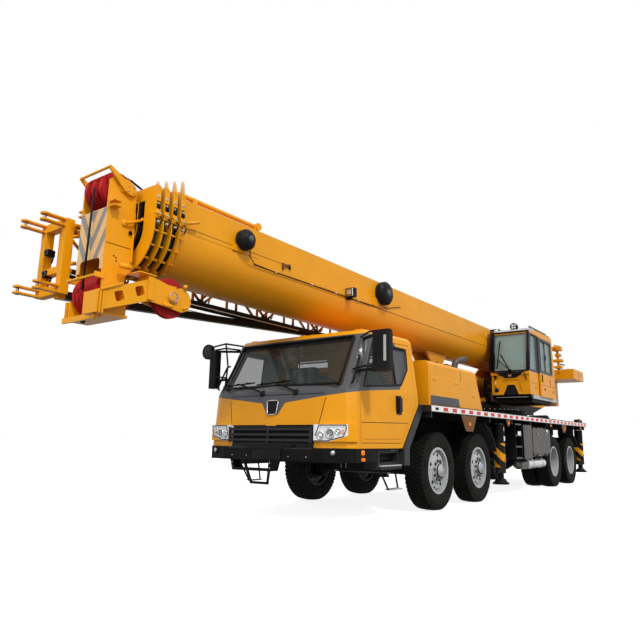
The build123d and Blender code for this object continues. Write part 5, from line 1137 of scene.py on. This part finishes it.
# ================================================================ boom head
head = Piece("head_details", "boom_head", "trim_plastic")
head.tube(rope, [(4.892, 0.03, 3.27), (4.896, 0.0, 2.27)], 0.01, 8)
for y in (-0.12, 0.12):
    head.tube(rope, [(4.7, y, 3.452), (4.56, y, 3.44), (4.4, y, 3.385)], 0.011, 8)
for s in (-1, 1):
    out = (0, s, 0)
    plate = s * 0.2155
    head.box(black, (4.7, plate, 2.71), (0.28, 0.003, 0.005), 0)
    head.tube(paint, [(4.665, s * 0.225, 2.945), (4.63, s * 0.255, 2.955),
                      (4.5, s * 0.262, 3.015)], 0.014, 10)
    head.lathe(paint, (4.665, s * 0.214, 2.945), out, [(0, 0.03), (0.018, 0.03), (0.022, 0.02),
                                                       (0.022, 0)], 20)
    head.box(paint, (4.49, s * 0.258, 3.022), (0.05, 0.05, 0.03), 0.006)
    head.lathe(dark, (4.59, plate, 2.864), out, [(0, 0.026), (0.003, 0.026), (0.003, 0)], 20)
    head.ring(paint, (4.59, s * 0.217, 2.864), out, 0.029, 0.005, 20, 6)
    head.lathe(zinc, (4.69, s * 0.214, 2.25), out, [(0, 0.055), (0.016, 0.055), (0.02, 0.045), (0.02, 0)], 24)
    head.bolts(zinc, (4.69, s * 0.215, 2.25), out, 0.08, 4, 0.01, 0.01, 0.4)
    head.bolts(zinc, (4.64, s * 0.25, 3.29), out, 0.036, 4, 0.008, 0.008)
    for x, z in ((4.72, 2.585), (4.745, 2.6), (4.715, 2.555)):
        head.box(dark, (x, plate, z), (0.018, 0.004, 0.01), 0, (0, -30, 0))
    head.box(dark, (4.842, s * 0.205, 2.95), (0.004, 0.004, 0.3), 0)
BUTTON = [(0, 0.048), (0.012, 0.048), (0.016, 0.038), (0.016, 0)]
head.lathe(paint, (4.19, 0.247, 2.285), (0, -1, 0), BUTTON, 24)
head.lathe(paint, (4.19, 0.415, 2.285), (0, 1, 0), BUTTON, 24)
head.ring(zinc, (4.19, 0.43, 2.285), (0, 1, 0), 0.05, 0.004, 28, 6)
head.bolts(zinc, (4.19, 0.43, 2.285), (0, 1, 0), 0.028, 3, 0.007, 0.008)
for ends, radius, sides in (
        (((4.05, 0.2, 2.2), (4.05, 0.47, 2.2)), 0.014, 10),
        (((4.3, 0.415, 2.2), (4.22, 0.46, 2.175)), 0.02, 10),
        (((4.05, 0.415, 2.4), (4.05, 0.425, 2.44)), 0.02, 10),
        (((4.72, 0.3, 2.5), (4.6, 0.3, 2.5)), 0.026, 12)):
    head.tube(paint, ends, radius, sides)
head.box(paint, (4.5, 0.335, 2.452), (0.2, 0.18, 0.014), 0.003)
head.box(paint, (4.86, 0.335, 2.256), (0.24, 0.17, 0.014), 0.003, (0, 26, 0))
# Overhoist switch and the lugs below the box.
head.tube(dark, [(4.8, -0.1, 2.02), (4.8, -0.1, 1.985)], 0.022, 12)
head.box(paint, (4.93, 0.3, 2.0), (0.022, 0.022, 0.1), 0.004)
head.box(paint, (4.97, 0.34, 2.0), (0.022, 0.022, 0.08), 0.004)
for y in (-0.09, -0.03, 0.03, 0.09):
    head.box(dark, (4.62, y, 2.545), (0.1, 0.006, 0.1), 0)
head.done()

jib = Piece("jib_details", "boom_base", "trim_plastic")
for z in (2.83, 2.6):
    jib.box(paint, (4.755, -0.935, z), (0.05, 0.05, 0.05), 0.006)
    jib.box(black, (4.775, -0.89, z - 0.015), (0.09, 0.065, 0.075), 0.012, (0, 0, 12))
    jib.ring(grey, (4.82, -0.883, z - 0.015), (1, 0.2, 0), 0.024, 0.005, 20, 6)
    jib.tube(black, [(4.73, -0.89, z - 0.04), (4.735, -0.91, z - 0.11)], 0.008, 6)
for y in (-0.62, -1.0):
    for z in (2.39, 3.09):
        jib.tube(zinc, [(5.005, y, z - 0.052), (5.005, y, z + 0.052)], 0.016, 12)
        jib.ring(zinc, (5.005, y, z + 0.043), (0, 0, 1), 0.02, 0.005, 16, 6)
jib.prism(paint, [(4.74, -0.7, 3.045), (4.74, -0.665, 3.045), (4.74, -0.665, 2.9)], (0.02, 0, 0), 0.003)
jib.prism(paint, [(4.74, -0.955, 2.435), (4.74, -0.92, 2.435), (4.74, -0.955, 2.56)], (0.02, 0, 0), 0.003)
for z in (2.95, 2.66):
    jib.tube(paint, [(4.755, -0.62, z), (4.66, -0.56, z + 0.02)], 0.02, 10)
# White lines along the lattice's lower chords: painted highlight of their lit edges.
for y, z in ((-0.59, 2.56), (-0.83, 2.545)):
    jib.tube(white, [(4.7, y, z), (1.0, y, z)], 0.007, 6)
for x in (0.4, 1.6, 2.8, 4.0):
    jib.tube(paint, [(x, -0.62, 2.64), (x + 0.04, -0.56, 2.66), (x + 0.1, -0.52, 2.64)], 0.012, 8)
jib.done()

# ================================================================ superstructure
cabin = Piece("operator_cab_details", "superstructure", "trim_plastic")
shell = skin("operator_cab")
cabin.box(silver, (-4.09, OP_Y, 1.838), (0.02, 0.66, 0.022), 0.006)
cabin.ribbon(black, shell, [(-4.1, 1.5, 2.115), (-5.8, 1.5, 2.115)], INWARD, 0.006, 0.001, 0.2)
badge = [(-0.03, 2.245), (0.03, 2.245), (0.038, 2.29), (-0.038, 2.29)]
cabin.prism(chrome, [(-4.006, OP_Y + y, z) for y, z in badge], (0.006, 0, 0), 0.002)
# Windshield frame and wiper. The pane leans back from the sill.
LEAN = math.atan2(0.15, 0.87)


def on_screen(y, z, out=0.012):
    return (-4.03 - (z - 2.35) * math.tan(LEAN) + out, y, z)


for y in (0.545, 1.275):
    cabin.tube(dark, [on_screen(y, 2.36), on_screen(y, 3.19)], 0.022, 10)
for z in (3.19, 2.36):
    cabin.tube(dark, [on_screen(0.545, z), on_screen(1.275, z)], 0.016, 10)
for line, radius in (
        ((on_screen(0.91, 2.37, 0.03), on_screen(0.72, 2.72, 0.04)), 0.012),
        ((on_screen(0.86, 2.42, 0.03), on_screen(0.66, 2.62, 0.04)), 0.008),
        ((on_screen(0.64, 2.42, 0.02), on_screen(0.7, 3.02, 0.02)), 0.011),
        ((on_screen(1.2, 2.36, 0.02), on_screen(1.22, 2.24, 0.012), (-4.018, 1.235, 2.17)), 0.012)):
    cabin.tube(black, line, radius, 8)
cabin.lathe(black, on_screen(0.91, 2.365, 0.01), (1, 0, 0), [(0, 0.04), (0.03, 0.036), (0.04, 0)], 16)
# Hand tubes at the inner front corner and the controls below them.
for y in (0.5, 0.53, 0.562):
    cabin.tube(black, [(-4.3, y, 3.3), on_screen(y, 3.27, 0.03), on_screen(y, 3.2, 0.05),
                       on_screen(y, 2.4, 0.045)], 0.013, 10)
for finish, centre, size, bevel in (
        (red, (-4.01, 0.6, 2.335), (0.035, 0.07, 0.035), 0.008),
        (black, (-4.016, 0.6, 2.24), (0.03, 0.055, 0.07), 0.008),
        (signal, (-4.012, 0.6, 2.21), (0.03, 0.03, 0.02), 0.005)):
    cabin.box(finish, centre, size, bevel)
cabin.tube(steel, [(-4.016, 0.6, 2.2), (-4.016, 0.6, 2.02)], 0.008, 8)
cabin.lathe(black, (-4.03, 0.62, 1.985), (1, 0, 0), [(0, 0.045), (0.02, 0.045), (0.03, 0.03), (0.03, 0)], 20)
cabin.ring(steel, (-4.004, 0.62, 1.985), (1, 0, 0), 0.03, 0.004, 20, 6)
# Side window: frame, slider post and seals.
SIDE_WINDOW = [(-4.56, 2.4), (-4.56, 3.12), (-4.235, 3.12), (-4.1, 2.4)]
edge = grown(SIDE_WINDOW, 0.018)
for y, look_in in ((1.5, INWARD), (0.3, (0, 1, 0))):
    cabin.ribbon(grey, shell, [(x, y, z) for x, z in edge + edge[:1]], look_in, 0.03, 0.006, 0.3)
cabin.box(silver, (-5.02, 1.3045, 1.843), (1.66, 0.01, 0.076), 0.003)
cabin.box(black, (-4.4, 1.306, 2.03), (0.05, 0.014, 0.014), 0.004)
# Roof: rails' caps, vent and the work lamp's cells.
for y in (0.58, 1.24):
    for x in (-5.48, -4.96, -4.42):
        cabin.bolt(zinc, (x, y, 3.324), (0, 0, 1), 0.008, 0.006)
    cabin.box(black, (-4.96, y, 3.296), (1.16, 0.012, 0.01), 0.003)
cabin.box(black, (-5.05, OP_Y, 3.276), (0.62, 0.44, 0.03), 0.01)
cabin.ring(dark, (-4.393, OP_Y, 3.345), (1, 0, 0), 0.07, 0.008, 32, 8)
for y, z in ((-0.026, -0.026), (0.026, -0.026), (-0.026, 0.026), (0.026, 0.026)):
    cabin.lathe(lens, (-4.397, OP_Y + y, 3.345 + z), (1, 0, 0), [(0, 0.024), (0.008, 0.019), (0.01, 0)], 20)
for step in range(10):
    a = math.pi * step / 5
    cabin.box(dark, (-4.47, OP_Y + 0.07 * math.cos(a), 3.345 + 0.07 * math.sin(a)), (0.05, 0.01, 0.01), 0.002)
# Valve stand with its beacon, carried behind the rear wall.
for z in (3.1, 2.65):
    cabin.tube(paint, [(-5.84, 1.18, z), (-6.36, 1.25, z)], 0.022, 10)
cabin.box(paint, (-6.4, 1.25, 3.1), (0.18, 0.2, 0.1), 0.01)
cabin.disc(lens, (-6.4, 1.25, 3.15), (0, 0, 1), 0.075, 0.06, 24, 0.016)
cabin.tube(paint, [(-6.4, 1.25, 3.06), (-6.42, 1.26, 2.6), (-6.38, 1.26, 2.52)], 0.03, 12)
for z, wide in ((2.95, 0.12), (2.82, 0.2), (2.67, 0.15)):
    cabin.box(paint, (-6.42, 1.26, z), (0.15, wide, 0.065), 0.01)
    cabin.bolts(zinc, (-6.42, 1.26 + wide / 2, z), (0, 1, 0), 0.028, 4, 0.009, 0.012)
cabin.tube(black, [(-6.42, 1.26, 2.74), (-6.54, 1.3, 2.75), (-6.62, 1.34, 2.73)], 0.014, 8)
cabin.done()

door = Piece("operator_door_trim", "operator_door", "trim_plastic")
door_skin = skin("operator_door")
OPENING = [(-5.48, 2.42), (-5.48, 3.06), (-4.72, 3.06), (-4.72, 2.42)]
PLANE = door_skin((-5.1, 1.6, 2.2), INWARD)[0].y
edge = grown(OPENING, 0.02)
door.ribbon(grey, door_skin, [(x, 1.6, z) for x, z in edge + edge[:1]], INWARD, 0.034, 0.006, 0.3)
door.box(grey, (-5.08, PLANE - 0.015, 2.74), (0.04, 0.018, 0.636), 0.004)
door.box(black, (-5.065, PLANE + 0.001, 2.72), (0.02, 0.016, 0.11), 0.004)
door.ribbon(black, door_skin, [(-5.54, 1.6, 2.115), (-4.66, 1.6, 2.115)], INWARD, 0.006, 0.001, 0.2)
door.box(black, (-4.74, PLANE + 0.006, 2.25), (0.022, 0.022, 0.16), 0.006)
door.box(black, (-4.9, PLANE + 0.004, 2.035), (0.09, 0.014, 0.022), 0.004)
door.box(signal, (-5.32, PLANE + 0.002, 2.2), (0.05, 0.006, 0.13), 0.002)
for x, z in ((-5.545, 2.03), (-5.545, 2.12), (-5.5, 2.0)):
    door.box(black, (x + 0.02, PLANE + 0.003, z), (0.022, 0.01, 0.022), 0.003)
door.done()
screen = Piece("operator_door_pane", "operator_door", "glass")
screen.prism(op_pane, [(x, PLANE - 0.026, z) for x, z in grown(OPENING, 0.004)], (0, -0.005, 0))
screen.done()

table = Piece("turntable_details", "superstructure", "yellow_paint")
table.bolts(zinc, (-5.0, 0, 1.618), (0, 0, 1), 0.69, 40, 0.014, 0.016)
WINCHES = ((-7.76, 2.76), (-8.14, 2.74))        # X, Z of the drums
for s in (-1, 1):
    for x, z, radius in ((-5.5, 2.15, 0.1), (-6.9, 2.95, 0.105)):
        table.lathe(paint, (x, s * 0.47, z), (0, s, 0), [(0, radius), (0.022, radius), (0.028, radius - 0.01),
                                                         (0.028, 0)], 32)
        table.bolts(zinc, (x, s * 0.497, z), (0, s, 0), radius * 0.65, 6, 0.011, 0.012)
    for x, z in WINCHES:
        table.lathe(iron, (x, s * 0.47, z), (0, s, 0),
                    [(0, 0.085), (0.05, 0.08), (0.07, 0.055), (0.07, 0)], 28)
        table.bolts(zinc, (x, s * 0.519, z), (0, s, 0), 0.06, 6, 0.008, 0.01)
    for x in (-8.0, -8.5):
        table.ring(iron, (x, s * 1.08, 2.775), (0, 1, 0), 0.034, 0.01, 20, 8)
    table.box(black, (-8.1, s * 1.302, 2.63), (0.006, 0.004, 0.24), 0)
    table.lathe(dark, (-8.3, s * 1.298, 2.64), (0, s, 0), [(0, 0.03), (0.004, 0.03), (0.004, 0)], 20)
for x, z in WINCHES:
    for turn in range(31):
        table.ring(rope, (x, -0.36 + turn * 0.024, z), (0, 1, 0), 0.141, 0.0115, 28, 6)
# Hose bundle in front of the plates.
for k in range(7):
    y = (0.25 + 0.03 * k) * (1 if k % 2 else -1)
    table.tube(black, [(-4.66, y, 1.72), (-4.36 + 0.03 * k, y, 1.76),
                       (-4.16 + 0.02 * k, y * 1.05, 1.98 + 0.02 * k), (-4.3, y, 2.22 + 0.015 * k),
                       (-4.72, y * 0.9, 2.16 + 0.02 * k), (-5.05, y * 0.95, 1.96)], 0.019, 8)
for y in (0.33, -0.33):
    table.box(iron, (-4.66, y, 1.9), (0.2, 0.2, 0.22), 0.012)
for k in range(5):
    table.box(dark, (-4.72 + 0.04 * k, 0.33, 2.03), (0.018, 0.14, 0.06), 0.004)
table.done()

# ================================================================ outriggers
JACK_Y = 1.235                                  # |y| of the jacks
for name in [f"{end}_{side_name}" for end in ("front", "rear") for side_name, _ in SIDES]:
    s = 1 if name.endswith("left") else -1
    low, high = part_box(f"outrigger_{name}")
    x = (low.x + high.x) / 2 - AXLE_1
    tip = high.y if s > 0 else low.y
    gear = Piece(f"outrigger_trim_{name}", f"outrigger_{name}", "trim_plastic")
    gear.box(red_lens, (x, tip + s * 0.002, low.z + 0.22), (0.05, 0.012, 0.04), 0.004)
    gear.box(white, (x, tip + s * 0.001, low.z + 0.58), (0.055, 0.006, 0.08), 0.002)
    gear.box(steel, (x + 0.02, tip, low.z + 0.74), (0.03, 0.016, 0.06), 0.003)
    gear.bolts(zinc, (x, s * JACK_Y, high.z - 0.002), (0, 0, 1), 0.06, 6, 0.012, 0.012)
    gear.ring(zinc, (x, s * JACK_Y, low.z + 0.01), (0, 0, 1), 0.085, 0.007)
    gear.done()


# ================================================================ camera, floor, lights and sky
scene = bpy.context.scene


def staged(name, data):
    """Object that belongs to the stage, and not to the crane."""
    made = bpy.data.objects.new(name, data)
    scene.collection.objects.link(made)
    return made


YAW, PITCH, ROLL = -2.51, 0.2067, 0.0119
camera = staged("camera", bpy.data.cameras.new("camera"))
look = Vector((math.cos(YAW) * math.cos(PITCH), math.sin(YAW) * math.cos(PITCH), math.sin(PITCH)))
level = Vector((math.sin(YAW), -math.cos(YAW), 0))
right = level * math.cos(ROLL) + level.cross(look) * math.sin(ROLL)
up = level.cross(look) * math.cos(ROLL) - level * math.sin(ROLL)
turned = Matrix((right, up, -look)).transposed().to_4x4()
camera.matrix_world = Matrix.Translation((9.5385, 4.8954, 0.947)) @ turned
camera.data.lens = 32.79
camera.data.shift_x, camera.data.shift_y = -0.0113, -0.0041
scene.camera = camera

floor_mesh = bmesh.new()
bmesh.ops.create_circle(floor_mesh, cap_ends=True, segments=64, radius=90.0)
floor = staged("floor", bpy.data.meshes.new("floor"))
floor_mesh.to_mesh(floor.data)
floor_mesh.free()
floor.location.z = -0.001
floor.visible_diffuse = False
floor.visible_glossy = False
floor_white = material("floor_white", (0.35, 0.35, 0.35), 0.9, vary=0.0, bump=0.0)
floor_shader = floor_white.node_tree.nodes["Principled BSDF"]
floor_shader.inputs["Emission Color"].default_value = (1, 1, 1, 1)
floor_shader.inputs["Emission Strength"].default_value = 0.86
floor.data.materials.append(floor_white)


def light(name, kind, energy, where, aim, **settings):
    made = staged(name, bpy.data.lights.new(name, kind))
    made.data.energy = energy
    for key, value in settings.items():
        setattr(made.data, key, value)
    turn = (Vector(aim) - Vector(where)).to_track_quat("-Z", "Y").to_matrix().to_4x4()
    made.matrix_world = Matrix.Translation(where) @ turn


light("sun", "SUN", 1.85, (6, 14, 16), (0, 0, 0), angle=math.radians(6))
light("front_fill", "AREA", 380, (14, 3, 7), (3, 0, 2), size=7.0)

# Sky: even white where the camera sees it, and darker downwards where it lights the crane.
world = bpy.data.worlds.new("sky")
scene.world = world
world.use_nodes = True
sky = Tree(world, "Generated")
rays = sky.add("ShaderNodeLightPath").outputs
strength = sky.add("ShaderNodeMix")
sky.put(strength.inputs[0], sky.calc("MAXIMUM", rays["Is Camera Ray"], rays["Is Transmission Ray"]))
sky.put(strength.inputs[2], sky.span(sky.z, -1.2, 0.5, 0.0, 0.9))
sky.put(strength.inputs[3], 1.0)
background = world.node_tree.nodes["Background"]
sky.put(background.inputs["Color"], (1, 1, 1, 1))
sky.put(background.inputs["Strength"], strength.outputs[0])
scene.view_settings.view_transform = "Standard"
